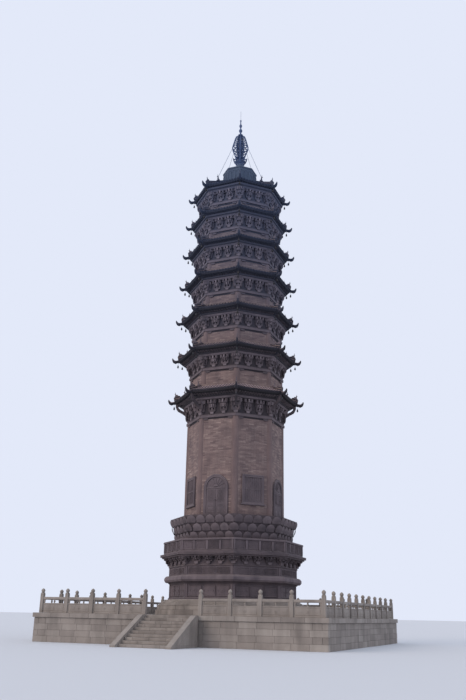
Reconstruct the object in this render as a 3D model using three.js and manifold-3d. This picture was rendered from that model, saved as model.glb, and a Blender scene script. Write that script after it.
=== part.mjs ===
import * as THREE from 'three';
import { mergeVertices } from 'three/addons/utils/BufferGeometryUtils.js';
import Module from 'manifold-3d';

const wasm = await Module();
wasm.setup();

// Sizes are in millimetres, +Z is up, and the origin is on the ground under the middle of the tower.
// Every radius of the octagonal tower is measured to its corners.
const SIDES = 8;
const HALF_SIDE_ANGLE = Math.PI / SIDES;
const CORNER_STEP = 2 * HALF_SIDE_ANGLE;
const FACE_PER_CORNER = Math.cos(HALF_SIDE_ANGLE);
const BED_JOINT = 0.3;

// Storeys and eaves
const STOREYS = 7;
const FIRST_TIP_HEIGHT = 15450;
const FIRST_EAVE_RISE = 3020;
const EAVE_RISE_RATIO = 0.945;
const FIRST_TIP_RADIUS = 4680;
const TIP_INSET_PER_STOREY = 137;
const HOOK_REACH = 450;
const FIRST_WALL_RADIUS = 3225;
const WALL_INSET_PER_STOREY = 65;
const COLUMN_RADIUS = 120;

// Cornice under each eave, measured down from the tip of the corner hook
const EAVE_UNDERSIDE_DROP = 300;
const PURLIN_DROP = 450;
const BRACKET_HEIGHT = 850;
const FIRST_BRACKET_HEIGHT = 1100;
const LINTEL_HEIGHT = 150;
const LINTEL_PROUD = 70;
const BRACKET_FOOT_PROUD = 30;
const PURLIN_PROUD = 430;
const BRACKET_STEPS = 3;

// Roof of each eave
const EDGE_THICKNESS = 200;
const EDGE_SAG = 90;
const EDGE_SPANS = 3;
const UNDERSIDE_MARGIN = 30;
const ROOF_SLOPE = 0.45;
const TOP_ROOF_SLOPE = 0.5;
const FOOT_RIDGE_PROUD = 150;
const FOOT_RIDGE_HEIGHT = 120;
const RIDGE_WIDTH = 150;
const RIDGE_HEIGHT = 300;
const FIGURE_HEIGHT = 300;
const FIGURE_LENGTH = 300;
const HOOK_RISE = 60;
const HOOK_DEPTH = 170;

// Finial
const BOWL_RADIUS = 1300;
const BOWL_RIM_HEIGHT = 33480;
const NECK_HEIGHT = 34400;
const NECK_RADIUS = 280;
const PETALS_TOP = 35350;
const CROWN_TOP = 37250;
const SPIRE_TOP = 38650;
const ROD_TOP = 39430;
const MAST_RADIUS = 110;
const FIN_THICKNESS = 36;
const STAY_HIP_RADIUS = 2270;
const STAY_TOP_HEIGHT = 37120;
const STAY_COLLAR_RADIUS = 200;
const STAY_COLLAR_HEIGHT = 70;
const STAY_THICKNESS = 26;
const STAY_COUNT = 4;

// Cap of the bowl, from its rim inwards, as [share of the bowl's radius, height above the rim]
const BOWL_CAP = [[1, 0], [0.96, 90], [0.7, 380], [0.4, 620], [0.26, 680], [0.26, 920]];

// Side view of one iron petal, as [distance from the axis, height above the neck]
const PETAL_OUTLINE = [[60, 180], [300, 230], [520, 640], [540, 800], [430, 760], [60, 890]];
const PETAL_HOLE = [360, 590, 75];

// Side view of one plate of the crown, as [distance from the axis, height above the crown's foot]
const CROWN_OUTLINE = [
  [60, 20],
  [370, 60],
  [520, 330],
  [650, 640],
  [640, 820],
  [410, 1440],
  [230, 1680],
  [60, 1790],
];
const CROWN_HOLES = [[390, 400, 90], [450, 740, 110], [350, 1120, 100]];

// The spire with its two balls, as [radius, height above the crown]
const SPIRE_PROFILE = [
  [110, 0],
  [60, 280],
  [110, 360],
  [125, 450],
  [110, 540],
  [50, 640],
  [50, 760],
  [95, 850],
  [95, 950],
  [40, 1060],
];
const SPIRE_NECK_RADIUS = 18;
const ROD_RADIUS = 9;

// Terrace, steps and balustrade
const TERRACE_HALF = 8620;
const TERRACE_HEIGHT = 1300;
const COPING_PROUD = 80;
const COPING_THICKNESS = 250;
const TERRACE_TOP = TERRACE_HEIGHT + COPING_THICKNESS;
const STEP_COUNT = 10;
const TREAD = 300;
const STEPS_WIDTH = 2800;
const CHEEK_WIDTH = 320;
const RAIL_INSET = 260;
const POST_SIZE = 200;
const POST_HEIGHT = 1080;
const POST_HEAD_HEIGHT = 240;
const POST_PITCH = 1680;
const PANEL_HEIGHT = 520;
const PANEL_THICKNESS = 90;
const HANDRAIL_BOTTOM = 700;
const HANDRAIL_HEIGHT = 150;
const HANDRAIL_THICKNESS = 130;

// Pedestal, from the terrace up to the foot of the first storey
const PLINTH_TOP = 2450;
const WAIST_RADIUS = 4000;
const LEDGE_RADIUS = 4380;
const LEDGE_BOTTOM = 3450;
const LEDGE_TOP = 3850;
const GALLERY_BOTTOM = 4350;
const GALLERY_RADIUS = 4700;
const GALLERY_TOP = 5150;
const PARAPET_RADIUS = 4480;
const PARAPET_TOP = 5950;
const LOTUS_TIERS = 3;
const LOTUS_FOOT_RADIUS = 3700;
const LOTUS_RADIUS_STEP = 150;
const LOTUS_FLARE = 190;
const FIRST_WALL_FOOT = 7400;
const MOULDING = 110;
const WAIST_FOOT_PROUD = 90;
const WAIST_HEAD_PROUD = 120;
const LEDGE_CHAMFER = 130;
const UPPER_WAIST_PROUD = 50;
const DECK_THICKNESS = 150;
const PARAPET_CAP_PROUD = 40;

// Plinth mouldings, as [radius beyond the waist, height above the terrace]
const PLINTH_PROFILE = [[850, 0], [850, 300], [740, 330], [740, 520], [360, 680], [200, 900]];

// One tier of the lotus seat, as [share of the flare, share of the tier's height]
const LOTUS_PROFILE = [[0, 0], [0.8, 0.55], [1, 0.9], [0.7, 1]];

// False doors and windows of the first storey
const DOOR_WIDTH = 1300;
const DOOR_SPRING = 1750;
const FRAME_THICKNESS = 110;
const FRAME_BORDER = 170;
const WINDOW_WIDTH = 1150;
const WINDOW_HEIGHT = 1500;
const WINDOW_SILL = 900;
const LEAF_RECESS = 45;
const LATTICE_BARS = 7;
const BAR_WIDTH = 50;
const STRIP_WIDTH = 60;
const BAR_PROUD = 35;
const BITE = 10;

const brick = new THREE.MeshStandardMaterial({ color: '#6f6158', roughness: 0.92, metalness: 0 });
const carvedBrick = new THREE.MeshStandardMaterial({ color: '#5f5650', roughness: 0.92, metalness: 0 });
const greyTile = new THREE.MeshStandardMaterial({ color: '#3d4148', roughness: 0.8, metalness: 0 });
const stone = new THREE.MeshStandardMaterial({ color: '#a7a29a', roughness: 0.85, metalness: 0 });
const iron = new THREE.MeshStandardMaterial({ color: '#333a48', roughness: 0.6, metalness: 0.7 });

const pagoda = new THREE.Group();

// Adds one named piece in its own material.
function addPiece(name, geometry, material) {
  const mesh = new THREE.Mesh(geometry, material.clone());
  mesh.name = name;
  pagoda.add(mesh);
  return mesh;
}

// A solid for joining and cutting, from a closed three.js geometry.
function toSolid(geometry) {
  const bare = geometry.clone();
  bare.deleteAttribute('normal');
  bare.deleteAttribute('uv');
  const merged = mergeVertices(bare, 0.01);
  const corners = merged.index.array;
  const kept = [];
  for (let i = 0; i < corners.length; i += 3) {
    const [a, b, c] = [corners[i], corners[i + 1], corners[i + 2]];
    if (a !== b && b !== c && c !== a) kept.push(a, b, c);
  }
  return new wasm.Manifold(new wasm.Mesh({
    numProp: 3,
    vertProperties: new Float32Array(merged.attributes.position.array),
    triVerts: new Uint32Array(kept),
  }));
}

// A three.js geometry from a solid.
function toGeometry(solid) {
  const mesh = solid.getMesh();
  const geometry = new THREE.BufferGeometry();
  geometry.setAttribute('position', new THREE.BufferAttribute(mesh.vertProperties, 3));
  geometry.setIndex(Array.from(mesh.triVerts));
  geometry.computeVertexNormals();
  return geometry;
}

// Joins several closed geometries that touch into one.
function join(geometries) {
  return toGeometry(geometries.map(toSolid).reduce((whole, next) => whole.add(next)));
}

// A closed eight-sided solid turned from an outline of [radius, height] points.
function octagonTurn(outline, segments = SIDES, start = HALF_SIDE_ANGLE) {
  const points = outline.map(([radius, height]) => new THREE.Vector2(radius, height));
  const closed = [new THREE.Vector2(0, points[0].y), ...points, new THREE.Vector2(0, points.at(-1).y)];
  return new THREE.LatheGeometry(closed, segments, start).rotateX(Math.PI / 2);
}

// A round solid turned from the same kind of outline.
function roundTurn(outline, segments = 8) {
  return octagonTurn(outline, segments, 0);
}

// An outline of [along, height] points with real thickness, standing upright across the +X axis.
function uprightPlate(outline, thickness, holes = []) {
  const shape = new THREE.Shape(outline.map(([along, height]) => new THREE.Vector2(along, height)));
  for (const hole of holes) shape.holes.push(hole);
  const plate = new THREE.ExtrudeGeometry(shape, { depth: thickness, bevelEnabled: false, curveSegments: 6 });
  return plate.rotateX(Math.PI / 2).translate(0, thickness / 2, 0);
}

// A box given by its lowest and highest corners.
function boxBetween(low, high) {
  const size = high.map((value, axis) => value - low[axis]);
  const middle = high.map((value, axis) => (value + low[axis]) / 2);
  return new THREE.BoxGeometry(...size).translate(...middle);
}

// The angles of the eight corners about the tower's axis.
function cornerAngles() {
  return Array.from({ length: SIDES }, (_, corner) => HALF_SIDE_ANGLE + corner * CORNER_STEP);
}

// The height of the corner hooks of one eave, and the radii that step in with each storey.
function tipHeight(storey) {
  return FIRST_TIP_HEIGHT + FIRST_EAVE_RISE * (1 - EAVE_RISE_RATIO ** storey) / (1 - EAVE_RISE_RATIO);
}

function tipRadius(storey) {
  return FIRST_TIP_RADIUS - TIP_INSET_PER_STOREY * storey;
}

function edgeRadius(storey) {
  return tipRadius(storey) - HOOK_REACH;
}

function wallRadius(storey) {
  return FIRST_WALL_RADIUS - WALL_INSET_PER_STOREY * storey;
}

function lintelFoot(storey) {
  const brackets = storey === 0 ? FIRST_BRACKET_HEIGHT : BRACKET_HEIGHT;
  return tipHeight(storey) - PURLIN_DROP - brackets - LINTEL_HEIGHT;
}

// Where the roof of one eave meets what stands on it.
function roofHead(storey) {
  const isTop = storey === STOREYS - 1;
  const radius = isTop ? BOWL_RADIUS + FOOT_RIDGE_PROUD : wallRadius(storey + 1) + FOOT_RIDGE_PROUD;
  const slope = (isTop ? TOP_ROOF_SLOPE : ROOF_SLOPE) * FACE_PER_CORNER;
  const height = tipHeight(storey) + slope * (edgeRadius(storey) - radius);
  return { radius, height, slope };
}

function wallFoot(storey) {
  return storey === 0 ? FIRST_WALL_FOOT : roofHead(storey - 1).height + FOOT_RIDGE_HEIGHT;
}

// Terrace: a square body of dressed stone with a projecting coping that paves its top
function addTerrace() {
  const half = TERRACE_HALF;
  addPiece('terrace', boxBetween([-half, -half, 0], [half, half, TERRACE_HEIGHT]), stone);
  const edge = half + COPING_PROUD;
  const foot = TERRACE_HEIGHT + BED_JOINT;
  addPiece('terrace_coping', boxBetween([-edge, -edge, foot], [edge, edge, TERRACE_TOP]), stone);
}

// Steps in front of the terrace, between two sloping cheek stones
function addSteps() {
  const riser = TERRACE_TOP / STEP_COUNT;
  const back = -(TERRACE_HALF + COPING_PROUD + BED_JOINT);
  const outline = [[back, 0]];
  for (let step = 1; step < STEP_COUNT; step += 1) {
    outline.unshift([back - (STEP_COUNT - step) * TREAD, (step - 1) * riser]);
    outline.unshift([back - (STEP_COUNT - step) * TREAD, step * riser]);
  }
  outline.unshift([back, (STEP_COUNT - 1) * riser]);
  addPiece('front_steps', uprightPlate(outline, STEPS_WIDTH).rotateZ(Math.PI / 2), stone);
  const foot = back - STEP_COUNT * TREAD;
  const cheek = [[foot, 0], [back, 0], [back, TERRACE_TOP], [back - TREAD, TERRACE_TOP], [foot, riser * 0.6]];
  for (const [side, name] of [[-1, 'left'], [1, 'right']]) {
    const across = side * (STEPS_WIDTH + CHEEK_WIDTH + 2 * BED_JOINT) / 2;
    const stoneCheek = uprightPlate(cheek, CHEEK_WIDTH).rotateZ(Math.PI / 2).translate(across, 0, 0);
    addPiece(`steps_cheek_${name}`, stoneCheek, stone);
  }
}

// One run of the balustrade along +X from one end post to the other
function balustradeRun(start, end) {
  const bays = Math.round((end - start) / POST_PITCH);
  const pitch = (end - start) / bays;
  const panel = boxBetween([start, -PANEL_THICKNESS / 2, 0], [end, PANEL_THICKNESS / 2, PANEL_HEIGHT]);
  const half = HANDRAIL_THICKNESS / 2;
  const railTop = HANDRAIL_BOTTOM + HANDRAIL_HEIGHT;
  const rail = boxBetween([start, -half, HANDRAIL_BOTTOM], [end, half, railTop]);
  const pieces = [panel, rail];
  for (let post = 0; post <= bays; post += 1) {
    const x = start + post * pitch;
    const size = POST_SIZE / 2;
    pieces.push(boxBetween([x - size, -size, 0], [x + size, size, POST_HEIGHT]));
    const headOutline = [[0.85, 0], [1.2, 0.5], [0.8, 1]];
    const head = headOutline.map(([r, h]) => [r * size, POST_HEIGHT + h * POST_HEAD_HEIGHT]);
    pieces.push(octagonTurn(head, 4, Math.PI / 4).translate(x, 0, 0));
  }
  return join(pieces);
}

// Five runs of balustrade: one on each side and two beside the head of the steps
function addBalustrade() {
  const line = TERRACE_HALF - RAIL_INSET;
  const gap = (STEPS_WIDTH + CHEEK_WIDTH) / 2 + POST_SIZE / 2;
  const end = line - POST_SIZE - BED_JOINT;
  const foot = TERRACE_TOP + BED_JOINT;
  const runs = [
    ['balustrade_front_left', -line, -gap, 0],
    ['balustrade_front_right', gap, line, 0],
    ['balustrade_right', -end, end, 1],
    ['balustrade_back', -line, line, 2],
    ['balustrade_left', -end, end, 3],
  ];
  for (const [name, from, to, quarter] of runs) {
    const run = balustradeRun(from, to).translate(0, -line, foot);
    addPiece(name, run.rotateZ(quarter * Math.PI / 2), stone);
  }
}

// Pedestal: a moulded plinth, two waists with a ledge between, a bracketed gallery and its parapet
function addPedestal() {
  const base = TERRACE_TOP + BED_JOINT;
  const plinth = PLINTH_PROFILE.map(([proud, height]) => [
    WAIST_RADIUS + proud,
    Math.min(base + height, PLINTH_TOP),
  ]);
  addPiece('plinth', octagonTurn(plinth), stone);
  const lowerWaist = [
    [WAIST_RADIUS + WAIST_FOOT_PROUD, PLINTH_TOP + BED_JOINT],
    [WAIST_RADIUS + WAIST_FOOT_PROUD, PLINTH_TOP + MOULDING],
    [WAIST_RADIUS, PLINTH_TOP + MOULDING],
    [WAIST_RADIUS, LEDGE_BOTTOM - MOULDING],
    [WAIST_RADIUS + WAIST_HEAD_PROUD, LEDGE_BOTTOM],
  ];
  addPiece('lower_waist', octagonTurn(lowerWaist), carvedBrick);
  const upperWaist = [
    [LEDGE_RADIUS - LEDGE_CHAMFER, LEDGE_BOTTOM + BED_JOINT],
    [LEDGE_RADIUS, LEDGE_BOTTOM + LEDGE_CHAMFER],
    [LEDGE_RADIUS, LEDGE_TOP - LEDGE_CHAMFER],
    [LEDGE_RADIUS - LEDGE_CHAMFER, LEDGE_TOP],
    [WAIST_RADIUS + UPPER_WAIST_PROUD, LEDGE_TOP],
    [WAIST_RADIUS + UPPER_WAIST_PROUD, GALLERY_BOTTOM],
  ];
  addPiece('upper_waist', octagonTurn(upperWaist), carvedBrick);
  const deck = GALLERY_TOP - DECK_THICKNESS;
  const gallery = [
    [WAIST_RADIUS + MOULDING, GALLERY_BOTTOM + BED_JOINT],
    [WAIST_RADIUS + MOULDING, GALLERY_BOTTOM + MOULDING],
    [GALLERY_RADIUS - 3 * MOULDING, deck - DECK_THICKNESS],
    [GALLERY_RADIUS - MOULDING, deck],
    [GALLERY_RADIUS, deck],
    [GALLERY_RADIUS, GALLERY_TOP],
  ];
  addPiece('gallery', octagonTurn(gallery), carvedBrick);
  const parapet = [
    [PARAPET_RADIUS, GALLERY_TOP + BED_JOINT],
    [PARAPET_RADIUS, PARAPET_TOP - MOULDING],
    [PARAPET_RADIUS + PARAPET_CAP_PROUD, PARAPET_TOP - MOULDING],
    [PARAPET_RADIUS + PARAPET_CAP_PROUD, PARAPET_TOP],
  ];
  addPiece('parapet', octagonTurn(parapet), carvedBrick);
}

// Lotus seat: rows of upturned petals, each row wider than the one below
function addLotusSeat() {
  const foot = PARAPET_TOP + BED_JOINT;
  const tierHeight = (FIRST_WALL_FOOT - foot) / LOTUS_TIERS;
  const tiers = Array.from({ length: LOTUS_TIERS }, (_, tier) => LOTUS_PROFILE.map(([flare, rise]) => [
    LOTUS_FOOT_RADIUS + tier * LOTUS_RADIUS_STEP + flare * LOTUS_FLARE,
    foot + (tier + rise) * tierHeight,
  ]));
  addPiece('lotus_seat', octagonTurn(tiers.flat()), carvedBrick);
}

// One storey of wall with a column engaged at each corner
function storeyWall(storey) {
  const foot = wallFoot(storey) + BED_JOINT;
  const head = lintelFoot(storey);
  const radius = wallRadius(storey);
  const pieces = [octagonTurn([[radius, foot], [radius, head]])];
  for (const angle of cornerAngles()) {
    const column = new THREE.CylinderGeometry(COLUMN_RADIUS, COLUMN_RADIUS, head - foot, 6);
    column.rotateX(Math.PI / 2).translate(radius - COLUMN_RADIUS * 0.5, 0, (head + foot) / 2).rotateZ(angle);
    pieces.push(column);
  }
  return join(pieces);
}

// The cornice of one storey: lintel, bracket zone corbelled out in steps, and purlin
function cornice(storey) {
  const radius = wallRadius(storey);
  const foot = lintelFoot(storey) + BED_JOINT;
  const bracketFoot = lintelFoot(storey) + LINTEL_HEIGHT;
  const bracketHead = tipHeight(storey) - PURLIN_DROP;
  const outline = [[radius + LINTEL_PROUD, foot], [radius + LINTEL_PROUD, bracketFoot]];
  const reach = (PURLIN_PROUD - BRACKET_FOOT_PROUD) / BRACKET_STEPS;
  const rise = (bracketHead - bracketFoot) / BRACKET_STEPS;
  outline.push([radius + BRACKET_FOOT_PROUD, bracketFoot + 5]);
  for (let step = 1; step <= BRACKET_STEPS; step += 1) {
    const outer = radius + BRACKET_FOOT_PROUD + step * reach;
    outline.push([outer, bracketFoot + (step - 0.45) * rise]);
    outline.push([outer, bracketFoot + step * rise]);
  }
  outline.push([radius + PURLIN_PROUD, tipHeight(storey) - EAVE_UNDERSIDE_DROP]);
  return octagonTurn(outline);
}

// Bends a round turned roof to the octagon and lets its edges sag between the eight corners.
function fitOctagon(geometry, storey) {
  const position = geometry.attributes.position;
  const rest = wallRadius(storey) + PURLIN_PROUD + UNDERSIDE_MARGIN;
  for (let i = 0; i < position.count; i += 1) {
    const x = position.getX(i);
    const y = position.getY(i);
    const angle = Math.atan2(y, x);
    const fromFace = angle - Math.round(angle / CORNER_STEP) * CORNER_STEP;
    const scale = FACE_PER_CORNER / Math.cos(fromFace);
    const outward = Math.max(0, (Math.hypot(x, y) - rest) / (edgeRadius(storey) - rest));
    const sag = Math.abs(fromFace) < HALF_SIDE_ANGLE * 0.9 ? EDGE_SAG * outward : 0;
    position.setXYZ(i, x * scale, y * scale, position.getZ(i) - sag);
  }
  return geometry;
}

// The side view of one hip ridge with its figures and the hook that ends it
function hipOutline(storey) {
  const tip = tipHeight(storey);
  const reach = tipRadius(storey);
  const edge = edgeRadius(storey);
  const head = roofHead(storey);
  const surface = (radius) => tip + head.slope * (edge - radius);
  const crest = (radius) => surface(radius) + RIDGE_HEIGHT;
  const figure = (radius) => [
    [radius + FIGURE_LENGTH / 2, crest(radius + FIGURE_LENGTH / 2)],
    [radius + FIGURE_LENGTH / 3, crest(radius) + FIGURE_HEIGHT],
    [radius - FIGURE_LENGTH / 6, crest(radius) + FIGURE_HEIGHT],
    [radius - FIGURE_LENGTH / 2, crest(radius - FIGURE_LENGTH / 2)],
  ];
  const innerFigure = storey === STOREYS - 1 ? STAY_HIP_RADIUS : (edge + head.radius) / 2;
  const foot = head.radius - RIDGE_WIDTH / 2;
  return [
    [foot, surface(head.radius) - HOOK_RISE],
    [edge - HOOK_REACH / 2, tip - EDGE_THICKNESS - HOOK_RISE],
    [reach - HOOK_REACH / 2, tip - HOOK_DEPTH],
    [reach - HOOK_RISE, tip - HOOK_DEPTH / 2],
    [reach, tip + HOOK_RISE],
    [reach - HOOK_DEPTH, tip - HOOK_RISE / 2],
    [edge, tip],
    [edge, crest(edge)],
    ...figure(edge - FIGURE_LENGTH * 0.6),
    ...figure(innerFigure),
    [foot, crest(head.radius)],
  ];
}

// The roof of one eave with its tile edge, foot ridge, hip ridges and corner hooks
function eave(storey) {
  const tip = tipHeight(storey);
  const edge = edgeRadius(storey);
  const head = roofHead(storey);
  const foot = tip - EAVE_UNDERSIDE_DROP + BED_JOINT;
  const underside = wallRadius(storey) + PURLIN_PROUD + UNDERSIDE_MARGIN;
  const outline = [
    [wallRadius(storey), foot],
    [underside, foot],
    [edge - 70, tip - EDGE_THICKNESS],
    [edge, tip - EDGE_THICKNESS],
    [edge, tip],
    [head.radius, head.height],
    [head.radius, head.height + FOOT_RIDGE_HEIGHT],
  ];
  const roof = fitOctagon(octagonTurn(outline, SIDES * EDGE_SPANS), storey);
  const ridge = uprightPlate(hipOutline(storey), RIDGE_WIDTH);
  const ridges = cornerAngles().map((angle) => ridge.clone().rotateZ(angle));
  return join([roof, ...ridges]);
}

function addStoreys() {
  for (let storey = 0; storey < STOREYS; storey += 1) {
    addPiece(`storey_${storey + 1}_wall`, storeyWall(storey), brick);
    addPiece(`storey_${storey + 1}_cornice`, cornice(storey), carvedBrick);
    addPiece(`storey_${storey + 1}_eave`, eave(storey), greyTile);
  }
}

// Turns a piece made against the front face to another face of the first storey.
function onFace(geometry, face) {
  const standOff = wallRadius(0) * FACE_PER_CORNER + BED_JOINT;
  return geometry.translate(0, -standOff, FIRST_WALL_FOOT + BED_JOINT).rotateZ(face * CORNER_STEP);
}

// An outline along X and Z, given thickness from the wall face outwards
function facePanel(shape, thickness, outward = 0) {
  const panel = new THREE.ExtrudeGeometry(shape, { depth: thickness, bevelEnabled: false, curveSegments: 8 });
  return panel.rotateX(Math.PI / 2).translate(0, -outward, 0);
}

// An arched outline standing on the line z = foot
function archShape(width, foot, spring) {
  const shape = new THREE.Shape();
  shape.moveTo(-width / 2, foot);
  shape.lineTo(width / 2, foot);
  shape.lineTo(width / 2, spring);
  shape.absarc(0, spring, width / 2, 0, Math.PI, false);
  return shape;
}

// A false door: arched surround, two leaves and a meeting strip in one
function falseDoor() {
  const surround = facePanel(archShape(DOOR_WIDTH + 2 * FRAME_BORDER, 0, DOOR_SPRING), FRAME_THICKNESS);
  const opening = facePanel(archShape(DOOR_WIDTH, -BITE, DOOR_SPRING), FRAME_THICKNESS, LEAF_RECESS);
  const cut = toGeometry(toSolid(surround).subtract(toSolid(opening)));
  const top = DOOR_SPRING + DOOR_WIDTH / 2 - STRIP_WIDTH;
  const half = STRIP_WIDTH / 2;
  const strip = boxBetween([-half, -LEAF_RECESS - BAR_PROUD, 0], [half, -LEAF_RECESS + BITE, top]);
  return join([cut, strip]);
}

// A false window: a square surround with upright lattice bars in front of its back
function falseWindow() {
  const outerHalf = WINDOW_WIDTH / 2 + FRAME_BORDER;
  const low = WINDOW_SILL - FRAME_BORDER;
  const high = WINDOW_SILL + WINDOW_HEIGHT + FRAME_BORDER;
  const surround = boxBetween([-outerHalf, -FRAME_THICKNESS, low], [outerHalf, 0, high]);
  const half = WINDOW_WIDTH / 2;
  const head = high - FRAME_BORDER;
  const opening = boxBetween([-half, -FRAME_THICKNESS - BITE, WINDOW_SILL], [half, -LEAF_RECESS, head]);
  const pieces = [toGeometry(toSolid(surround).subtract(toSolid(opening)))];
  for (let bar = 1; bar <= LATTICE_BARS; bar += 1) {
    const x = -half + bar * WINDOW_WIDTH / (LATTICE_BARS + 1);
    const barLow = [x - BAR_WIDTH / 2, -LEAF_RECESS - BAR_PROUD, WINDOW_SILL - BITE];
    pieces.push(boxBetween(barLow, [x + BAR_WIDTH / 2, -LEAF_RECESS + BITE, head + BITE]));
  }
  return join(pieces);
}

function addDoorsAndWindows() {
  const names = ['front', 'right', 'back', 'left'];
  const corners = ['front_right', 'back_right', 'back_left', 'front_left'];
  names.forEach((name, quarter) => {
    addPiece(`false_door_${name}`, onFace(falseDoor(), quarter * 2), carvedBrick);
    addPiece(`false_window_${corners[quarter]}`, onFace(falseWindow(), quarter * 2 + 1), carvedBrick);
  });
}

// A ring of upright plates about the axis, at the middles of the faces, joined by their core
function finnedPiece(core, finOutline, holes) {
  const fin = uprightPlate(finOutline, FIN_THICKNESS, holes);
  const fins = cornerAngles().map((angle) => fin.clone().rotateZ(angle - HALF_SIDE_ANGLE));
  return join([core, ...fins]);
}

// A six-sided hole in an iron plate
function scrollHole([along, height, radius], foot) {
  const corners = [5, 4, 3, 2, 1, 0].map((corner) => corner * Math.PI / 3);
  return new THREE.Path(corners.map((angle) => new THREE.Vector2(
    along + radius * Math.cos(angle),
    foot + height + radius * Math.sin(angle),
  )));
}

// Finial: an eight-sided bowl, a tier of petals, an openwork crown, a spire with two balls and a thin rod
function addFinial() {
  const bowlFoot = roofHead(STOREYS - 1).height + FOOT_RIDGE_HEIGHT + BED_JOINT;
  const cap = BOWL_CAP.map(([share, rise]) => [BOWL_RADIUS * share, BOWL_RIM_HEIGHT + rise]);
  addPiece('finial_bowl', octagonTurn([[BOWL_RADIUS, bowlFoot], ...cap]), greyTile);

  const petalCore = roundTurn([
    [NECK_RADIUS, NECK_HEIGHT + BED_JOINT],
    [MAST_RADIUS * 2, NECK_HEIGHT + NECK_RADIUS],
    [NECK_RADIUS, PETALS_TOP - NECK_RADIUS],
    [MAST_RADIUS, PETALS_TOP],
  ]);
  const petal = PETAL_OUTLINE.map(([along, height]) => [along, NECK_HEIGHT + height]);
  addPiece('finial_petals', finnedPiece(petalCore, petal, [scrollHole(PETAL_HOLE, NECK_HEIGHT)]), iron);

  const crownFoot = PETALS_TOP + BED_JOINT;
  const crownCore = roundTurn([
    [MAST_RADIUS, crownFoot],
    [MAST_RADIUS * 2, crownFoot + 2 * NECK_RADIUS],
    [MAST_RADIUS, STAY_TOP_HEIGHT],
    [STAY_COLLAR_RADIUS, STAY_TOP_HEIGHT],
    [STAY_COLLAR_RADIUS, STAY_TOP_HEIGHT + STAY_COLLAR_HEIGHT],
    [MAST_RADIUS, CROWN_TOP],
  ]);
  const crown = CROWN_OUTLINE.map(([along, height]) => [along, crownFoot + height]);
  const crownHoles = CROWN_HOLES.map((hole) => scrollHole(hole, crownFoot));
  addPiece('finial_crown', finnedPiece(crownCore, crown, crownHoles), iron);

  const spire = SPIRE_PROFILE.map(([radius, height]) => [radius, CROWN_TOP + BED_JOINT + height]);
  spire.push([SPIRE_NECK_RADIUS, SPIRE_TOP]);
  spire.push([ROD_RADIUS, SPIRE_TOP + SPIRE_NECK_RADIUS]);
  spire.push([ROD_RADIUS, ROD_TOP]);
  addPiece('finial_spire', roundTurn(spire), iron);
}

// Four stays from the collar of the crown to the figures on alternate hips of the top roof
function addStays() {
  const storey = STOREYS - 1;
  const surface = tipHeight(storey) + roofHead(storey).slope * (edgeRadius(storey) - STAY_HIP_RADIUS);
  const foot = surface + RIDGE_HEIGHT + FIGURE_HEIGHT + BED_JOINT;
  const head = STAY_TOP_HEIGHT - BED_JOINT;
  const half = STAY_THICKNESS / 2;
  const inner = STAY_COLLAR_RADIUS - STAY_THICKNESS;
  const outline = [
    [STAY_HIP_RADIUS - half, foot],
    [STAY_HIP_RADIUS + half, foot],
    [inner + half, head],
    [inner - half, head],
  ];
  for (let stay = 0; stay < STAY_COUNT; stay += 1) {
    const angle = -HALF_SIDE_ANGLE + stay * 2 * CORNER_STEP;
    addPiece(`finial_stay_${stay + 1}`, uprightPlate(outline, STAY_THICKNESS).rotateZ(angle), iron);
  }
}

addTerrace();
addSteps();
addBalustrade();
addPedestal();
addLotusSeat();
addStoreys();
addDoorsAndWindows();
addFinial();
addStays();

export default pagoda;
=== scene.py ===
# %% [markdown]
# # An octagonal brick pagoda with seven tiled eaves
#
# This lesson dresses a solid brick tower in the things that its builders laid by hand: bricks,
# bracket sets, rafters, roof tiles, ridge figures, bells, carved petals, stone panels and an iron
# finial. The plain solids of the tower come in as a fixed frame. Each step reads its heights and
# widths from those solids, so everything lands where the building carries it.

# %% Load the frame
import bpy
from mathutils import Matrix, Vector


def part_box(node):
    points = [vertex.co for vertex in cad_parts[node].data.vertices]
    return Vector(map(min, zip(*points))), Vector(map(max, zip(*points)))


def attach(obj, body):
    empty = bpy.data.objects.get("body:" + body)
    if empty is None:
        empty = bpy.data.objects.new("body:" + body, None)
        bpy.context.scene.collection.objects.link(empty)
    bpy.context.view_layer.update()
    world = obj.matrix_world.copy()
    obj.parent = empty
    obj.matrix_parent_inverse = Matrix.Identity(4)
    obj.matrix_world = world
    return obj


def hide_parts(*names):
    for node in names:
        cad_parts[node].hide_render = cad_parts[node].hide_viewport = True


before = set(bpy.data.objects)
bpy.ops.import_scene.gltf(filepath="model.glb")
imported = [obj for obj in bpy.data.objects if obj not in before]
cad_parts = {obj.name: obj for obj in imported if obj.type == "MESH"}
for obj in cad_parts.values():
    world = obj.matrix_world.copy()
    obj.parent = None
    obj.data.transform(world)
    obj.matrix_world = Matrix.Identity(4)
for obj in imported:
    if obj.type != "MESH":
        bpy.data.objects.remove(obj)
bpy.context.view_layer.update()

# %% Tools for every cell
import math
import random
from collections import namedtuple

import bmesh
import bpy
from mathutils import Matrix, Vector

chance = random.Random(7)
move = Matrix.Translation


def rotate(axis, angle):
    """A turn about an axis."""
    return Matrix.Rotation(angle, 4, axis)


def put(name, data):
    """A new object in the scene."""
    made = bpy.data.objects.new(name, data)
    bpy.context.collection.objects.link(made)
    return made


# %% [markdown]
# ## The camera
#
# The tower is seen from a low viewpoint, straight at one of its corners. The eye is at 1.6 m, so
# every line at that height falls on the horizon. The lens and the tilt come from how quickly the
# eaves shrink with height. The picture is 466 pixels wide and 700 high, and the camera is rolled by
# about one degree, which makes the tower lean a little to the right.

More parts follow.
